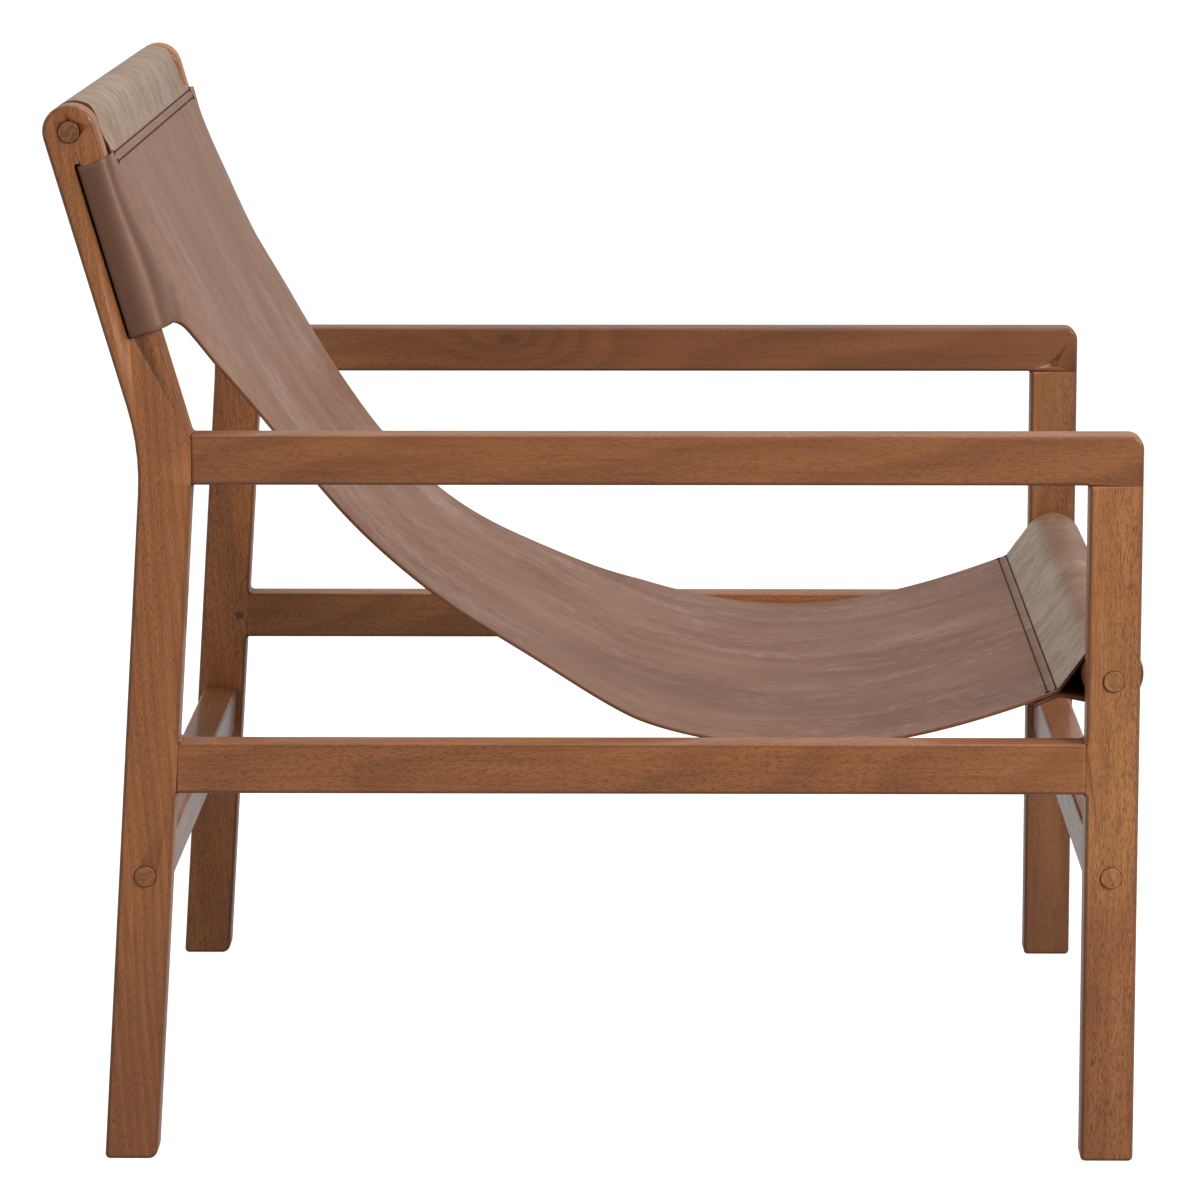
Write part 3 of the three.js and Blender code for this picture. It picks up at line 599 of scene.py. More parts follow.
def roundCorner(before, corner, after, radius):
    a = (before - corner) / np.linalg.norm(before - corner)
    b = (after - corner) / np.linalg.norm(after - corner)
    turn = math.acos(np.clip(a @ b, -1, 1)) / 2
    centre = corner + (a + b) / np.linalg.norm(a + b) * radius / math.sin(turn)
    first, last = corner + a * radius / math.tan(turn), corner + b * radius / math.tan(turn)
    cross = (first - centre)[0] * (last - centre)[1] - (first - centre)[1] * (last - centre)[0]
    return arcBetween(centre, radius, first, last, cross < 0)


# the hem lies behind the panel and opens a little towards its end
def hemLine(distances):
    points, normals = panelAt(distances)
    opening = np.minimum(distances, panelLength - distances) / sling["hemTail"]
    return points - normals * (layerStep + sling["hemOpen"] * opening ** 2)[:, None]


def pastCorner(tail, seam, cornerEnd):
    reach = np.linalg.norm(cornerEnd - seam)
    return tail[np.linalg.norm(tail - seam, axis=1) > reach + sampling["cornerGap"]]


def upperLoop():
    radius = barRadius("top_back_bar") + sling["loopSlack"] + half
    tail = hemLine(np.linspace(sling["hemTail"], 0, sampling["hem"]))
    under = tangentPoint(tail[-1], topBar, radius, -1)
    crown = onCircle(topBar, radius, math.radians(sling["crownTurn"]))
    corner = roundCorner(tail[0], tail[-1], under, sling["hemBend"])
    front = bezier(crown, heading(sling["crownTurn"]), upperSeam, heading(sling["backStartLean"]),
                   sling["crownPull"], sampling["crown"])
    kept = pastCorner(tail, tail[-1], corner[0])
    return np.concatenate([kept, corner, arcBetween(topBar, radius, under, crown), front[1:]])


def lowerLoop():
    radius = barRadius("front_seat_bar") + sling["loopSlack"] + half
    tail = hemLine(panelLength - np.linspace(0, sling["hemTail"], sampling["hem"]))
    over = tangentPoint(lowerSeam, seatBar, radius, -1)
    under = tangentPoint(tail[0], seatBar, radius, 1)
    corner = roundCorner(under, tail[0], tail[-1], sling["hemBend"])
    kept = pastCorner(tail, tail[0], corner[-1])
    return np.concatenate([[lowerSeam], arcBetween(seatBar, radius, over, under), corner, kept])


def resampled(points, step):
    lengths = lengthsOf(points)
    return alongLine(points, lengths, np.linspace(0, lengths[-1], max(3, round(lengths[-1] / step) + 1)))


slotAhead = -chair["legWidth"] / 2 - flap["slotSetback"]
slotBend = half + flap["slotPlay"] - chair["fit"]
faceOffset = -lieOff
innerOffset = chair["stock"] + lieOff
flapStop = float(distanceDown(flap["end"]))


# how far the sheet's edge lies inside the frame's outer face: straight beside the back, scooped by the seat
def edgeInset(distance):
    share = (distance - distanceDown(sling["scoopStart"])) / sling["scoopLength"]
    scoop = sling["scoopDepth"] * 4 * share * (1 - share)
    eased = (scoop + np.sqrt(scoop ** 2 + sling["scoopEase"] ** 2)) / 2
    belowFlap = ease(distance, flapStop, flapStop + sling["scoopIn"])
    beforeSeam = ease(distance, panelLength, panelLength - sling["scoopOut"])
    return straightInset + eased * belowFlap * beforeSeam


def flapUpperEdge(outward):
    drop = flap["slotDrop"] * ease(outward, *flap["dropFrom"]) * ease(outward, *flap["dropTo"])
    return flap["start"] + drop


def flapLowerEdge(outward):
    share = np.maximum(0, 1 - outward / flap["notchReach"])
    return flap["end"] + flap["notchDrop"] * (1 - np.sqrt(1 - share ** 2))


# the fold's front edge at a distance down the panel: ahead of the post's front, depth inside its outer face
def ridgeAt(distance):
    low, high = flap["ridgeAhead"]
    near, deep = flap["ridgeDepth"]
    depth = near + deep * np.clip(distance / flapStop, 0, 1) ** flap["ridgePower"]
    return low + high * ease(distance, *flap["ridgeRise"]), depth


def pullReach(distance):
    low, high = flap["pullReach"]
    return low + (high - low) * ease(distance, *flap["pullRise"])


# how far the flap pulls the sheet back towards the post, at a depth inside the frame's outer face
def pullBack(depth, distance):
    held = min(distance, flapStop)
    ridgeAhead, ridgeDepth = ridgeAt(held)
    rise = float(aheadOfPost(panelAt(held)[0])[0]) - ridgeAhead
    fade = math.exp(-max(0, distance - flapStop) / flap["pullFade"])
    t = np.clip((depth - ridgeDepth) / pullReach(held), 0, 1)
    return rise * fade * (1 - t) ** flap["pullPower"]


# one row of the flap as (ahead of the post's front, depth from its outer face): panel, fold, face, slot, tail
def flapRow(distance):
    ahead = float(aheadOfPost(panelAt(distance)[0])[0])
    ridge = np.array(ridgeAt(distance))
    depths = np.linspace(straightInset, ridge[1], flap["panelPoints"])
    row = [(ahead - pullBack(depth, distance), depth) for depth in depths]

    slope = flap["pullPower"] * (ahead - ridge[0]) / pullReach(distance)
    crisp, soft = flap["crispPull"]
    pull = crisp + (soft - crisp) * ease(distance, *flap["softens"])
    leaving = -np.array([slope, 1.0]) / math.hypot(slope, 1) * pull
    arriving = np.array([-flap["foldPull"], 0.0])
    faceFrom, faceTo = flap["foldFrom"], slotAhead + slotBend
    foldEnd = np.array([faceFrom, faceOffset - flap["foldLift"]])
    row += list(bezier(ridge, leaving, foldEnd, arriving, 1.0, flap["foldPoints"])[1:])
    for share in np.linspace(0, 1, flap["facePoints"])[1:-1]:
        lift = flap["foldLift"] * (1 - ease(share, 0, 1))
        row.append((faceFrom + (faceTo - faceFrom) * share, faceOffset - lift))

    turns = np.linspace(0, math.pi / 2, flap["cornerPoints"])
    for turn in turns:
        sunk = slotBend * (1 - math.cos(turn))
        row.append((slotAhead + slotBend * (1 - math.sin(turn)), faceOffset + sunk))
    through = np.linspace(faceOffset + slotBend, innerOffset - slotBend, flap["slotPoints"])
    row += [(slotAhead, at) for at in through[1:-1]]
    for turn in turns:
        back = slotBend * (1 - math.cos(turn))
        row.append((slotAhead - back, innerOffset - slotBend * (1 - math.sin(turn))))
    tailStart = slotAhead - slotBend
    tail = np.linspace(tailStart, tailStart - flap["tail"], flap["tailPoints"])
    row += [(at, innerOffset) for at in tail[1:]]
    return np.array(row)


# painted shade on the folded leather, with a painted highlight at the fold's corner: how much, at a column of
# the flap's row and a distance down the panel
def paintedFoldShade(column, distance):
    tone = foldPaintedLight
    lowValley = tone["lowValley"] * ease(distance, *tone["valleyFrom"])
    valley = max(lowValley, ease(column, *tone["valleyColumns"]))
    worn = tone["worn"] * math.exp(-((column - tone["highlightColumn"]) / tone["highlightWidth"]) ** 2)
    return tone["shade"] * (valley - worn + tone["face"] * ease(column, *tone["faceColumns"]))


# faint furrows beside the scooped edges
def furrow(across, distance, side):
    window = ease(distance, *furrows["rise"]) * ease(distance, *furrows["fall"])
    window = window * np.exp(-across / furrows["fade"])
    wave = np.sin(across * 2 * math.pi / furrows["width"] + distance / furrows["slant"] + side)
    return furrows["height"] * window * wave


# the loops are painted paler than the panel, and the front loop most on its crest: painted sheen, with some
# stretched pallor
def loopSheenAndPallorAt(reach, upperSeamAt, lowerSeamAt):
    tone = loopSheenAndPallor
    upper = tone["upper"] * ease(reach, upperSeamAt + tone["upperBlend"], upperSeamAt - tone["upperBlend"])
    pastSeam = reach - lowerSeamAt
    crest = ease(pastSeam, tone["crestReach"], tone["crestReach"] - tone["crestFade"])
    return upper + ease(pastSeam, *tone["lowerFrom"]) * (tone["lower"] + tone["crest"] * crest)


# near its ends the upper loop sinks a little between the crown and the seam
def crownTucks(reach, upperSeamAt):
    share = (upperSeamAt - reach) / sling["crownReach"]
    sunk = np.sin(np.clip(share, 0, 1) * math.pi)
    return sling["endTuck"] * np.where((share > 0) & (share < 1), sunk, 0)


# places across the sheet as shares of its half width, closer together near its edges
def acrossShares():
    fullX = halfWidth - straightInset
    zone = sling["edgeZone"]
    fromEdge = np.arange(0, zone, sling["edgeStep"])
    middle = np.linspace(zone, fullX, round((fullX - zone) / sling["middleStep"]) + 1)
    shares = (fullX - np.concatenate([fromEdge, middle])) / fullX
    return np.concatenate([-shares, shares[-2::-1]])


# a flap's points in one row, from beside the sheet's edge to the tail: place, place on the flat hide, painted
# fold shade
def flapPoints(side, down, outwards, seamReach):
    lowest = flapLowerEdge(0.0)
    for column, outward in enumerate(outwards[1:], 1):
        upperEdge, lowerEdge = flapUpperEdge(outward), flapLowerEdge(outward)
        here = upperEdge + (down - flap["start"]) * (lowerEdge - upperEdge) / (lowest - flap["start"])
        distance = float(distanceDown(here))
        p = panelAt(distance)[0][0]
        ahead, depth = flapRow(distance)[column]
        place = toWorld(side * (halfWidth - depth), *(p + postAhead * (ahead - float(aheadOfPost(p)))))
        flat = (side * (halfWidth - straightInset + outward) * mm, (seamReach + distance) * mm)
        yield place, flat, -paintedFoldShade(column, distance)


def slingSheet():
    upper = resampled(upperLoop(), sling["loopStep"])[:-1]
    lower = resampled(lowerLoop(), sling["loopStep"])[1:]
    flapDowns = np.linspace(flap["start"], flapLowerEdge(0.0), flap["rows"] + 1)
    flapDistances = distanceDown(flapDowns)
    flapDistances[0] = 0
    rest = panelLength - flapDistances[-1]
    seatDistances = flapDistances[-1] + np.linspace(0, rest, round(rest / sling["panelStep"]) + 1)[1:]
    distances = np.concatenate([flapDistances, seatDistances])
    path = np.concatenate([upper, panelAt(distances)[0], lower])
    reach = lengthsOf(path)
    normals = aheadNormals(path)
    panelFrom, panelTo = len(upper), len(upper) + len(distances)
    seamReach = reach[panelFrom]

    insets = np.full(len(path), straightInset)
    insets[panelFrom:panelTo] = edgeInset(distances)
    loopReach, hemTail = reach[:panelFrom], sling["hemTail"]
    insets[:panelFrom] += sling["loopInset"] * ease(seamReach - loopReach, 0, sling["seamEase"])
    insets[:panelFrom] -= sling["loopInset"] * ease(loopReach, hemTail + sling["hemEase"], hemTail)
    sheenAndPallor = loopSheenAndPallorAt(reach, seamReach, reach[panelTo - 1])
    tucks = crownTucks(reach, seamReach)
    shares = acrossShares()
    wide = len(shares)

    places, flats, quads, bend = [], [], [], []
    for k, (p, n) in enumerate(zip(path, normals)):
        x = (halfWidth - insets[k]) * shares
        fromEdge = halfWidth - insets[k] - np.abs(x)
        at = p - n * (tucks[k] * np.exp(-fromEdge / sling["tuckFade"]))[:, None]
        shade = np.zeros(wide)
        if panelFrom <= k < panelTo:
            distance = distances[k - panelFrom]
            pulled = pullBack(straightInset + fromEdge, distance)
            at = at - postAhead * pulled[:, None] + n * furrow(fromEdge, distance, np.sign(x))[:, None]
            # beside the flap the panel's edge carries the fold's painted shade
            nearFlap = ease(distance, flapStop + foldPaintedLight["sheetReach"], flapStop)
            shade = paintedFoldShade(0, distance) * nearFlap * np.exp(-fromEdge / foldPaintedLight["sheetFade"])
        places += [toWorld(*row) for row in np.column_stack([x, at])]
        flats += [(across * mm, reach[k] * mm) for across in x]
        # above nothing on the loops: painted sheen and pallor; below nothing by the flaps: painted shade
        bend += list(sheenAndPallor[k] - shade)
    for k in range(len(path) - 1):
        for c in range(wide - 1):
            a = k * wide + c
            quads.append((a, a + wide, a + wide + 1, a + 1))

    outwards = lengthsOf(flapRow(flapStop))
    for side in chairSides.values():
        grid = []
        for k, down in enumerate(flapDowns):
            rowIds = [(panelFrom + k) * wide + (0 if side < 0 else wide - 1)]
            for place, flat, tone in flapPoints(side, down, outwards, seamReach):
                rowIds.append(len(places))
                places.append(place)
                flats.append(flat)
                bend.append(tone)
            grid.append(rowIds)
        for upperRow, lowerRow in zip(grid[:-1], grid[1:]):
            for c in range(len(outwards) - 1):
                quad = (upperRow[c], lowerRow[c], lowerRow[c + 1], upperRow[c + 1])
                quads.append(quad if side > 0 else quad[::-1])
    size = (2 * (halfWidth - straightInset + outwards[-1]) * mm, reach[-1] * mm)
    return np.array(places), np.array(flats), np.array(quads), np.array(bend), size


def openEdges(quads):
    edges = {}
    for quad in quads.tolist():
        for k in range(4):
            edge = (quad[k], quad[(k + 1) % 4])
            if edge[::-1] in edges:
                del edges[edge[::-1]]
            else:
                edges[edge] = True
    return list(edges)


# give the sheet its thickness: grain face, flesh face, and a rounded cut edge along every open edge
def thickened(places, flats, quads, bend, name, materials):
    a, b, c, d = (places[quads[:, k]] for k in range(4))
    faceNormals = np.cross(c - a, d - b)
    area = np.linalg.norm(faceNormals, axis=1).sum() / 2
    normals = np.zeros_like(places)
    for k in range(4):
        np.add.at(normals, quads[:, k], faceNormals)
    normals /= np.linalg.norm(normals, axis=1)[:, None]
    edges = openEdges(quads)
    outward = np.zeros_like(places)
    for first, last in edges:
        off = np.cross(places[last] - places[first], normals[first] + normals[last])
        outward[first] += off
        outward[last] += off
    rim = sorted({v for edge in edges for v in edge})
    outward[rim] /= np.linalg.norm(outward[rim], axis=1)[:, None]

    count = len(places)
    points = [places + normals * half * mm, places - normals * half * mm]
    flatPoints, paintedLightPoints = [flats, flats], [bend, bend]
    rings = [{v: v for v in rim}]
    for turn in np.radians(sling["edgeTurns"])[1:-1]:
        start = sum(len(block) for block in points)
        rings.append({v: start + k for k, v in enumerate(rim)})
        points.append(places[rim] + (normals[rim] * half * math.sin(turn)
                                     + outward[rim] * sling["edgeSwell"] * math.cos(turn)) * mm)
        flatPoints.append(flats[rim])
        paintedLightPoints.append(bend[rim])
    rings.append({v: v + count for v in rim})
    faces = quads.tolist() + [[v + count for v in quad[::-1]] for quad in quads.tolist()]
    for first, last in edges:
        for upperRing, lowerRing in zip(rings[:-1], rings[1:]):
            faces.append([upperRing[last], upperRing[first], lowerRing[first], lowerRing[last]])
    kinds = np.full(len(faces), 2, np.int32)        # grain face, flesh face, cut edge
    kinds[:len(quads)] = 0
    kinds[len(quads):2 * len(quads)] = 1

    mesh = bpy.data.meshes.new(name)
    mesh.from_pydata(np.concatenate(points).tolist(), [], faces)
    paintedLightAll = np.concatenate(paintedLightPoints).astype(np.float32)
    # the bend attribute carries painted light: sheen and pallor on the loops, shade and a highlight on the
    # flaps' folds
    mesh.attributes.new("bend", "FLOAT", "POINT").data.foreach_set("value", paintedLightAll)
    corners = np.zeros(len(mesh.loops), np.int32)
    mesh.loops.foreach_get("vertex_index", corners)
    flatAll = np.concatenate(flatPoints)[corners].astype(np.float32)
    mesh.uv_layers.new(name="hide").data.foreach_set("uv", flatAll.ravel())
    shadeSmooth(mesh)
    piece = newPiece(name, mesh, materials)
    mesh.polygons.foreach_set("material_index", kinds)
    mesh.update()
    return piece, area


# the colour each face turns to on the loops: a pale grey on grain and flesh faces as painted sheen with some
# stretched pallor, near black on the cut edge as painted shade
hideFinish = {
    "grainSide": dict(
        Base=(0.24, 0.118, 0.072, 1), Pale=(0.36, 0.222, 0.158, 1), Deep=(0.142, 0.062, 0.036, 1),
        Bent=(0.46, 0.37, 0.285, 1), Streak=1.2, Crease=0.35, specular=0.34, bump=0.35),
    "fleshSide": dict(
        Base=(0.3, 0.18, 0.12, 1), Pale=(0.36, 0.23, 0.16, 1), Deep=(0.21, 0.12, 0.078, 1),
        Bent=(0.36, 0.24, 0.17, 1), Streak=0.35, Crease=0.1, specular=0.15, bump=0.5),
    "cutEdge": dict(
        Base=(0.21, 0.08, 0.04, 1), Pale=(0.34, 0.16, 0.09, 1), Deep=(0.1, 0.036, 0.018, 1),
        Bent=(0.03, 0.012, 0.008, 1), Streak=1.2, Crease=0.2, specular=0.3, bump=0.5),
}
hideBumpDistance = 0.0004


def hideMaterial(name, specular, bump, **inputs):
    material, tree, shader = newMaterial(name)
    inputs["Vector"] = addNode(tree, "ShaderNodeUVMap", uv_map="hide").outputs[0]
    inputs["Bend"] = attributeOf(tree, "bend")
    useGroup(tree, shader, drawnHide, inputs, bump, hideBumpDistance)
    feed(tree, shader, {"Specular IOR Level": specular})
    return material


def buildSling():
    materials = [hideMaterial(name, **finish) for name, finish in hideFinish.items()]
    places, flats, quads, bend, size = slingSheet()
    piece, area = thickened(places, flats, quads, bend, "leatherSling", materials)
    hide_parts("leather_sling")
    flatSize = [round(length, 4) for length in size]
    print("sling: flat", flatSize, "area", round(area, 4), "faces", len(piece.data.polygons))
    return piece, size, area


slingPiece, slingSize, slingArea = buildSling()


# geometry nodes helpers
def geometryTree(name, inputs):
    return newGroup(name, [("Geometry", "Geometry"), *inputs], [("Geometry", "Geometry")], "GeometryNodeTree")


# the end of each tree: one of the shape on every point, made real, with its material
def placeAll(tree, given, put, points, shape, turn, smooth):
    placed = addNode(tree, "GeometryNodeInstanceOnPoints", {
        "Points": points, "Instance": shape, "Rotation": turn}).outputs[0]
    made = addNode(tree, "GeometryNodeRealizeInstances", {0: placed}).outputs[0]
    if smooth:
        made = addNode(tree, "GeometryNodeSetShadeSmooth", {"Geometry": made}).outputs[0]
    dressed = addNode(tree, "GeometryNodeSetMaterial", {"Geometry": made, "Material": given["Material"]})
    tree.links.new(dressed.outputs[0], put["Geometry"])


def runTree(name, points, attributes, edges, tree, values):
    mesh = bpy.data.meshes.new(name + "Base")
    mesh.from_pydata([tuple(p) for p in points], edges, [])
    for key, rows in attributes.items():
        kind, field = ("FLOAT_VECTOR", "vector") if np.ndim(rows) == 2 else ("FLOAT", "value")
        data = mesh.attributes.new(key, kind, "POINT").data
        data.foreach_set(field, np.asarray(rows, np.float32).ravel())
    maker = toScene(bpy.data.objects.new(name + "Maker", mesh))
    modifier = maker.modifiers.new("nodes", "NODES")
    modifier.node_group = tree
    for item in tree.interface.items_tree:
        if item.in_out == "INPUT" and item.name in values:
            modifier[item.identifier] = values[item.name]
    bpy.context.view_layer.update()
    ready = maker.evaluated_get(bpy.context.evaluated_depsgraph_get())
    result = bpy.data.meshes.new_from_object(ready)
    result.name = name
    maker.modifiers.clear()
    bpy.data.objects.remove(maker)
    return result


def facingRotation(tree, axis, vector, pivot="AUTO", **start):
    node = addNode(tree, "FunctionNodeAlignRotationToVector", {"Vector": vector, **start},
                   axis=axis, pivot_axis=pivot)
    return node.outputs[0]


def namedVector(tree, name):
    node = addNode(tree, "GeometryNodeInputNamedAttribute", {"Name": name}, data_type="FLOAT_VECTOR")
    return node.outputs[0]


# stitches: two rows through both layers of each hem, seen on both faces, closed by short rows at the ends
stitching = dict(
    pitch=4.8, length=4.3, thread=1.3, sink=0.3, sway=0.14, seed=7, sides=6, rings=5,
    rowAt=0.4, rowGap=6.8, endSpace=4.6, rowPoints=40,
    colour=(0.045, 0.014, 0.008, 1), sheenColour=(0.11, 0.04, 0.024, 1), matt=(0.75, 0.55), specular=0.15,
    twist=900.0, twistBend=1.5, twistDetail=1.0, bumpStrength=0.4, bumpDistance=0.0002,
)


def threadMaterial():
    material, tree, shader = newMaterial("sewingThread")
    twist = addNode(tree, "ShaderNodeTexWave", {
        "Vector": objectPlace(tree), "Scale": stitching["twist"], "Distortion": stitching["twistBend"],
        "Detail": stitching["twistDetail"]}, bands_direction="DIAGONAL").outputs["Fac"]
    feed(tree, shader, {
        "Base Color": blend(tree, twist, stitching["colour"], stitching["sheenColour"]),
        "Roughness": between(tree, twist, 0, 1, *stitching["matt"]),
        "Specular IOR Level": stitching["specular"],
        "Normal": bumpOf(tree, twist, stitching["bumpStrength"], stitching["bumpDistance"]),
    })
    return material


def stitchTree():
    tree, given, put = geometryTree("sewnRows", [
        ("Pitch", "Float"), ("Length", "Float"), ("Thread", "Float"), ("Sway", "Float"), ("Seed", "Int"),
        ("Material", "Material")])
    rows = addNode(tree, "GeometryNodeMeshToCurve", {"Mesh": given["Geometry"]}).outputs[0]
    spaced = addNode(tree, "GeometryNodeResampleCurve", {
        "Curve": rows, "Length": given["Pitch"]}, mode="LENGTH").outputs[0]
    turn = facingRotation(tree, "X", addNode(tree, "GeometryNodeInputTangent").outputs[0])
    turn = facingRotation(tree, "Z", namedVector(tree, "away"), "X", Rotation=turn)
    sway = addNode(tree, "FunctionNodeRandomValue", {
        "Seed": given["Seed"], 2: times(tree, given["Sway"], -1.0), 3: given["Sway"]}, data_type="FLOAT")
    angle = addNode(tree, "ShaderNodeCombineXYZ", {"Z": sway.outputs[1]}).outputs[0]
    local = addNode(tree, "FunctionNodeEulerToRotation", {0: angle}).outputs[0]
    turn = addNode(tree, "FunctionNodeRotateRotation", {0: turn, 1: local}, rotation_space="LOCAL").outputs[0]
    ball = addNode(tree, "GeometryNodeMeshUVSphere", {
        "Segments": stitching["sides"], "Rings": stitching["rings"], "Radius": 0.5}).outputs[0]
    size = addNode(tree, "ShaderNodeCombineXYZ", {
        "X": given["Length"], "Y": given["Thread"], "Z": given["Thread"]}).outputs[0]
    lying = addNode(tree, "GeometryNodeTransform", {"Geometry": ball, "Scale": size}).outputs[0]
    placeAll(tree, given, put, spaced, lying, turn, True)
    return tree


def buildStitches():
    tree, material = stitchTree(), threadMaterial()
    reachX = halfWidth - straightInset - stitching["endSpace"]
    lift = half + stitching["thread"] * 0.5 - stitching["sink"]
    values = dict(Pitch=stitching["pitch"] * mm, Length=stitching["length"] * mm, Seed=stitching["seed"],
                  Thread=stitching["thread"] * mm, Sway=stitching["sway"], Material=material)
    firstRows = {"backHemStitches": stitching["rowAt"],
                 "seatHemStitches": panelLength - stitching["rowAt"] - stitching["rowGap"]}
    pieces = []
    for name, first in firstRows.items():
        points, away, edges = [], [], []
        for front in (True, False):
            pair = []
            for distance in (first, first + stitching["rowGap"]):
                (p,), (n,) = panelAt(distance)
                pair.append(p + n * lift if front else p - n * (layerStep + lift))
                facing = (0, -n[0], n[1]) if front else (0, n[0], -n[1])
            lines = [[(x, at) for x in np.linspace(-reachX, reachX, stitching["rowPoints"])] for at in pair]
            lines += [[(side * reachX, pair[0]), (side * reachX, pair[1])] for side in (-1, 1)]
            for line in lines:
                start = len(points)
                points += [toWorld(x, *at) for x, at in line]
                away += [facing] * len(line)
                edges += [(start + k, start + k + 1) for k in range(len(line) - 1)]
        mesh = runTree(name, points, {"away": np.array(away)}, edges, tree, values)
        pieces.append(newPiece(name, mesh, [material]))
    print("stitches:", [len(piece.data.polygons) for piece in pieces], "faces")
    return pieces


stitches = buildStitches()


# round pieces that stand out of a face: plugs over the bolts, pegs through the tenons, screws in the flaps
plugs = dict(
    radius=7.5, length=5.7, ease=0.5, sides=32, leftTurn=0.6,
    light=((0.36, 0.14, 0.055, 1), (0.5, 0.225, 0.08, 1)),
    dark=((0.17, 0.058, 0.022, 1), (0.27, 0.11, 0.036, 1)),
    spacing=0.006, wander=0.01, pores=0.9, bumpStrength=0.35,
)
plugLooks = {          # how each plug's grain is turned, and how pale it is
    "top_back_bar": (0.72, 0.15), "front_seat_bar": (1.9, 0.75),
    "rear_stretcher": (0.35, 0.3), "front_stretcher": (-1.25, 1.0),
}
pegs = dict(radius=3.0, length=20.0, ease=0.15, sides=20,
            wood=dict(grain="along", shade=0.4, log=(12.4, 0.2, 0.1), spacing=0.005))
pegJoints = ("rail_back", "rail_front", "arm_back", "arm_front")
screws = dict(radius=3.6, length=2.2, ease=0.9, sides=24, count=3, rim=0.62, dip=-1.2)
steelLook = dict(cloud=(600, 600, 600), dark=(0.42, 0.41, 0.39, 1), pale=(0.62, 0.61, 0.58, 1),
                 matt=(0.3, 0.7, 0.28, 0.45))
roundSharpAngle = 30


# a cylinder with an eased outer end, which is dished inside a rim on the screws
def roundTree(name, dished=False):
    tree, given, put = geometryTree(name, [
        ("Radius", "Float"), ("Length", "Float"), ("Ease", "Float"), ("Sides", "Int"),
        ("Material", "Material")])

    def raised(mesh, selection, height):
        return addNode(tree, "GeometryNodeExtrudeMesh", {
            "Mesh": mesh, "Selection": selection, "Offset Scale": height}, mode="FACES").outputs

    def narrowed(mesh, selection, scale):
        return addNode(tree, "GeometryNodeScaleElements", {
            "Geometry": mesh, "Selection": selection, "Scale": scale}).outputs[0]

    straight = calc(tree, "SUBTRACT", given["Length"], given["Ease"])
    rod = addNode(tree, "GeometryNodeMeshCylinder", {
        "Vertices": given["Sides"], "Side Segments": 1, "Radius": given["Radius"], "Depth": straight}).outputs
    down = addNode(tree, "ShaderNodeCombineXYZ", {"Z": times(tree, straight, -0.5)}).outputs[0]
    sunk = addNode(tree, "GeometryNodeTransform", {"Geometry": rod["Mesh"], "Translation": down}).outputs[0]
    step = raised(sunk, rod["Top"], given["Ease"])
    keep = calc(tree, "SUBTRACT", 1.0, calc(tree, "DIVIDE", given["Ease"], given["Radius"]))
    shape = narrowed(step["Mesh"], step["Top"], keep)
    if dished:
        rim = raised(shape, step["Top"], 0.0)
        rimmed = narrowed(rim["Mesh"], rim["Top"], screws["rim"])
        shape = raised(rimmed, rim["Top"], times(tree, given["Ease"], screws["dip"]))["Mesh"]
    turn = facingRotation(tree, "Z", namedVector(tree, "outward"))
    placeAll(tree, given, put, given["Geometry"], shape, turn, False)
    return tree


def plugMaterial():
    material, tree, shader = newMaterial("plugWood")
    turned = addNode(tree, "ShaderNodeVectorRotate", {
        "Vector": objectPlace(tree), "Angle": attributeOf(tree, "turn")}, rotation_type="X_AXIS").outputs[0]
    laid = addNode(tree, "ShaderNodeMapping", {"Vector": turned, "Rotation": grainTurns["along"]}).outputs[0]
    pale = attributeOf(tree, "pale")
    useGroup(tree, shader, oiledGrain, {
        "Vector": laid, "Pore": woodFinish["poreColour"],
        "Light": blend(tree, pale, *plugs["light"]), "Dark": blend(tree, pale, *plugs["dark"]),
        "Ring Spacing": plugs["spacing"], "Wander": plugs["wander"], "Pore Amount": plugs["pores"],
    }, plugs["bumpStrength"], woodFinish["bumpDistance"])
    feed(tree, shader, {"Specular IOR Level": woodFinish["specular"]})
    return material


def steelMaterial():
    material, tree, shader = newMaterial("zincSteel")
    cloud = noiseOf(tree, objectPlace(tree), steelLook["cloud"])
    feed(tree, shader, {
        "Base Color": blend(tree, cloud, steelLook["dark"], steelLook["pale"]),
        "Roughness": between(tree, cloud, *steelLook["matt"]), "Metallic": 1.0})
    return material


def outerPoint(node, sign):
    low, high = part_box(node)
    centre = middleOf(node)
    return (high.x if sign > 0 else low.x, centre.y, centre.z)


def standing(name, nodes, signs, tree, sizes, material, extra=None):
    values = dict(Radius=sizes["radius"] * mm, Length=sizes["length"] * mm, Ease=sizes["ease"] * mm,
                  Sides=sizes["sides"], Material=material)
    points = [outerPoint(node, sign) for node, sign in zip(nodes, signs)]
    attributes = {"outward": np.array([(sign, 0.0, 0.0) for sign in signs]), **(extra or {})}
    mesh = runTree(name, points, attributes, [], tree, values)
    shadeSmooth(mesh, roundSharpAngle)
    piece = newPiece(name, mesh, [material])
    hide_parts(*nodes)


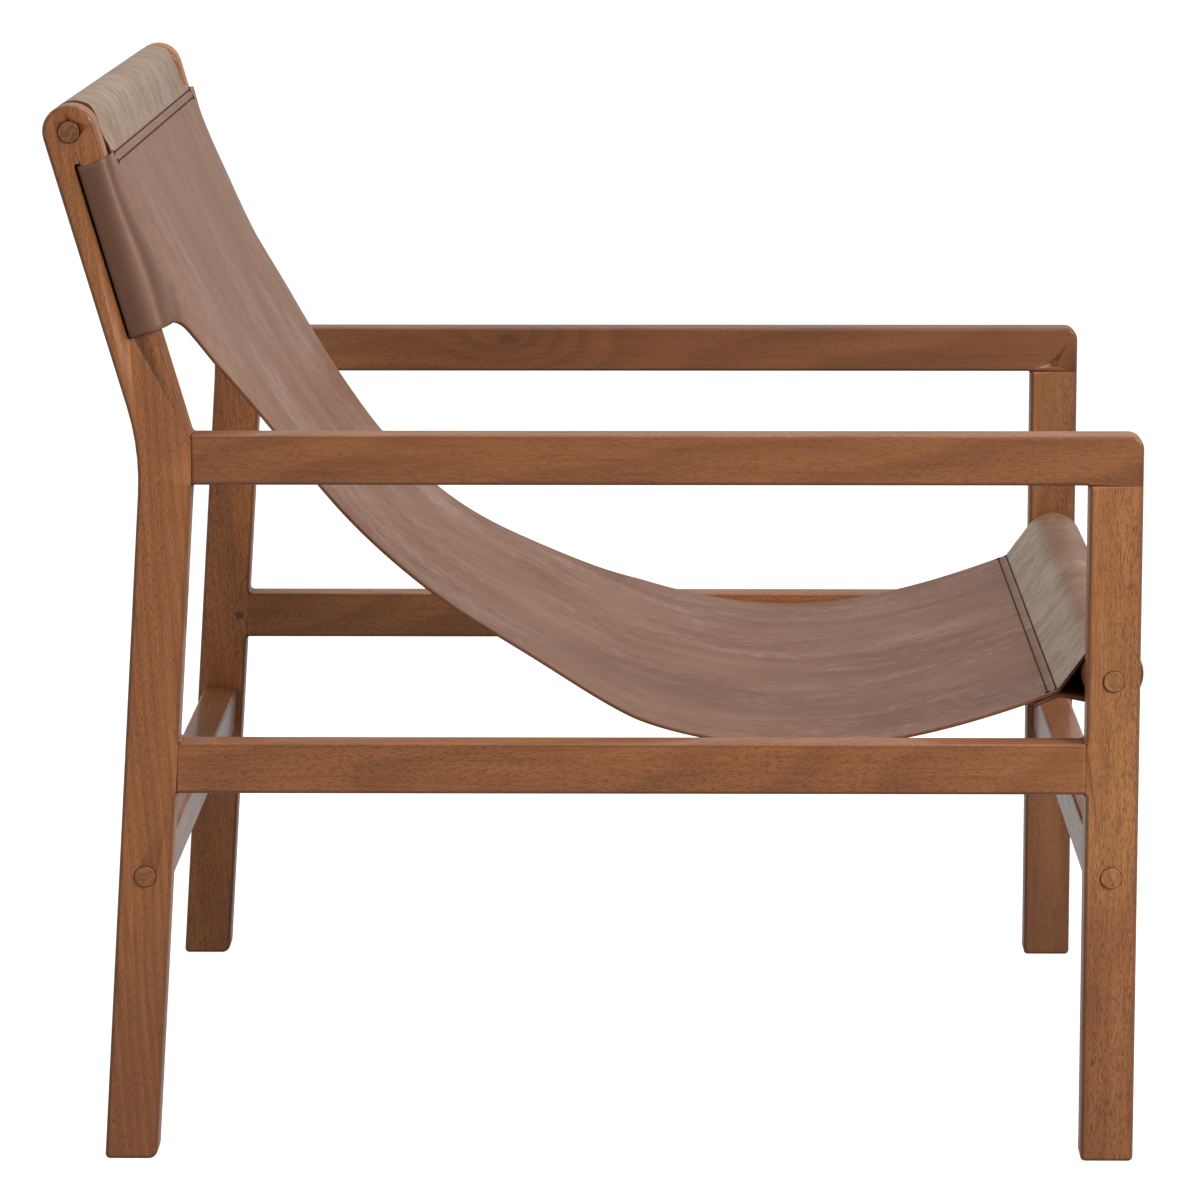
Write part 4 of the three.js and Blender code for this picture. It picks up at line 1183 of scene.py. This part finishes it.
def buildRounds():
    plain, dished = roundTree("roundEnds"), roundTree("dishedEnds", True)
    plugWood, steel = plugMaterial(), steelMaterial()
    outwards = list(chairSides.values())
    inwards = [-side for side in outwards]
    plugNodes, turns, pales = [], [], []
    for member, (turn, pale) in plugLooks.items():
        for label, side in chairSides.items():
            plugNodes.append(f"plug_{member}_{label}")
            turns.append(turn + (plugs["leftTurn"] if side > 0 else 0))
            pales.append(pale)
    standing("boltPlugs", plugNodes, outwards * len(plugLooks), plain, plugs, plugWood,
             {"turn": np.array(turns), "pale": np.array(pales)})
    pegNodes = [f"peg_{joint}_{label}" for joint in pegJoints for label in chairSides]
    standing("tenonPegs", pegNodes, inwards * len(pegJoints), plain, pegs,
             woodMaterial("pegWood", **pegs["wood"]))
    screwNodes = [f"flap_screw_{k + 1}_{label}" for k in range(screws["count"]) for label in chairSides]
    standing("flapScrews", screwNodes, inwards * screws["count"], dished, screws, steel)
    for node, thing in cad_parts.items():
        if node.startswith(("bolt_", "insert_")):
            thing.data.materials.clear()
            thing.data.materials.append(steel)
    print("plugs, pegs and screws:", len(plugNodes), len(pegNodes), len(screwNodes))


buildRounds()


# pale floor, air that is brighter ahead and on the far side, soft boxes above, ahead and behind, the camera
studio = dict(
    floorSize=80.0, floorColours=((0.3, 0.3, 0.3, 1), (0.32, 0.32, 0.32, 1)), floorGrain=(30, 30, 30),
    floorGlow=1.0, floorShine=0.3, floorRoughness=0.9, floorSpecular=0.1,
    air=0.2, airColour=(1, 0.97, 0.92, 1),
    aheadWay=(-0.2, -0.75, 0.55), aheadSpan=(-0.5, 0.8), aheadAir=0.12,
    farWay=(0.97, 0.05, 0.2), farSpan=(0.35, 0.9), farAir=0.32,
)
softBoxes = {
    "overheadBox": dict(at=(0.2, -0.2, 3.0), look=(0.0, 0.0, 0.4), size=(2.4, 2.4), power=26),
    "keyBox": dict(at=(-1.7, -2.0, 1.9), look=(-0.33, -0.42, 0.64), size=(1.6, 1.6), power=15.0, spread=75),
    "rearFill": dict(at=(-2.0, 2.2, 1.3), look=(0.0, 0.0, 0.45), size=(1.6, 1.6), power=14),
    "backFill": dict(at=(1.4, 2.6, 1.5), look=(0.0, 0.0, 0.4), size=(1.6, 1.6), power=18),
}
photoView = dict(
    forward=414.977, height=1058.534, distance=3699.947, towards=(0.985, 0.01428, -0.1716), roll=0.0013,
    lens=157.76, sensor=36.0,
)


def buildFloor():
    mesh = bpy.data.meshes.new("studioFloor")
    r = studio["floorSize"] / 2
    mesh.from_pydata([(-r, -r, 0), (r, -r, 0), (r, r, 0), (-r, r, 0)], [], [(0, 1, 2, 3)])
    floor = toScene(bpy.data.objects.new("studioFloor", mesh))
    material, tree, shader = newMaterial("paleFloor")
    dust = noiseOf(tree, objectPlace(tree), studio["floorGrain"])
    ray = addNode(tree, "ShaderNodeLightPath").outputs
    seen = times(tree, ray["Is Camera Ray"], studio["floorGlow"])
    mirrored = times(tree, ray["Is Glossy Ray"], studio["floorShine"])
    feed(tree, shader, {
        "Base Color": blend(tree, dust, *studio["floorColours"]),
        "Emission Color": (1, 1, 1, 1), "Emission Strength": calc(tree, "ADD", seen, mirrored),
        "Roughness": studio["floorRoughness"], "Specular IOR Level": studio["floorSpecular"]})
    mesh.materials.append(material)


def buildAir():
    world = bpy.data.worlds.new("studioAir")
    world.use_nodes = True
    tree = world.node_tree
    direction = addNode(tree, "ShaderNodeTexCoord").outputs["Generated"]
    ahead = vectorCalc(tree, "DOT_PRODUCT", direction, studio["aheadWay"])
    far = vectorCalc(tree, "DOT_PRODUCT", direction, studio["farWay"])
    glow = between(tree, ahead, *studio["aheadSpan"], studio["air"], studio["air"] + studio["aheadAir"])
    glow = calc(tree, "ADD", glow, between(tree, far, *studio["farSpan"], 0.0, studio["farAir"]))
    feed(tree, tree.nodes["Background"], {"Strength": glow, "Color": studio["airColour"]})
    bpy.context.scene.world = world


# point a lamp or a camera along a direction
def aimed(thing, direction):
    thing.rotation_mode = "QUATERNION"
    thing.rotation_quaternion = direction.to_track_quat("-Z", "Y")


def buildLamps():
    for name, box in softBoxes.items():
        light = bpy.data.lights.new(name, "AREA")
        light.shape = "RECTANGLE"
        light.size, light.size_y = box["size"]
        light.energy = box["power"]
        light.spread = math.radians(box.get("spread", 180))
        lamp = toScene(bpy.data.objects.new(name, light))
        lamp.location = box["at"]
        aimed(lamp, Vector(box["look"]) - Vector(box["at"]))
        lamp.visible_camera = False


def buildCamera():
    lens = bpy.data.cameras.new("photoCamera")
    lens.lens = photoView["lens"]
    lens.sensor_width = photoView["sensor"]
    camera = toScene(bpy.data.objects.new("photoCamera", lens))
    camera.location = toWorld(-halfWidth - photoView["distance"], photoView["forward"], photoView["height"])
    aim = Vector(photoView["towards"])
    aimed(camera, aim)
    camera.rotation_quaternion.rotate(Quaternion(aim, photoView["roll"]))
    bpy.context.scene.camera = camera
    bpy.context.scene.view_settings.view_transform = "Standard"


buildFloor()
buildAir()
buildLamps()
buildCamera()
print("studio and camera ready")
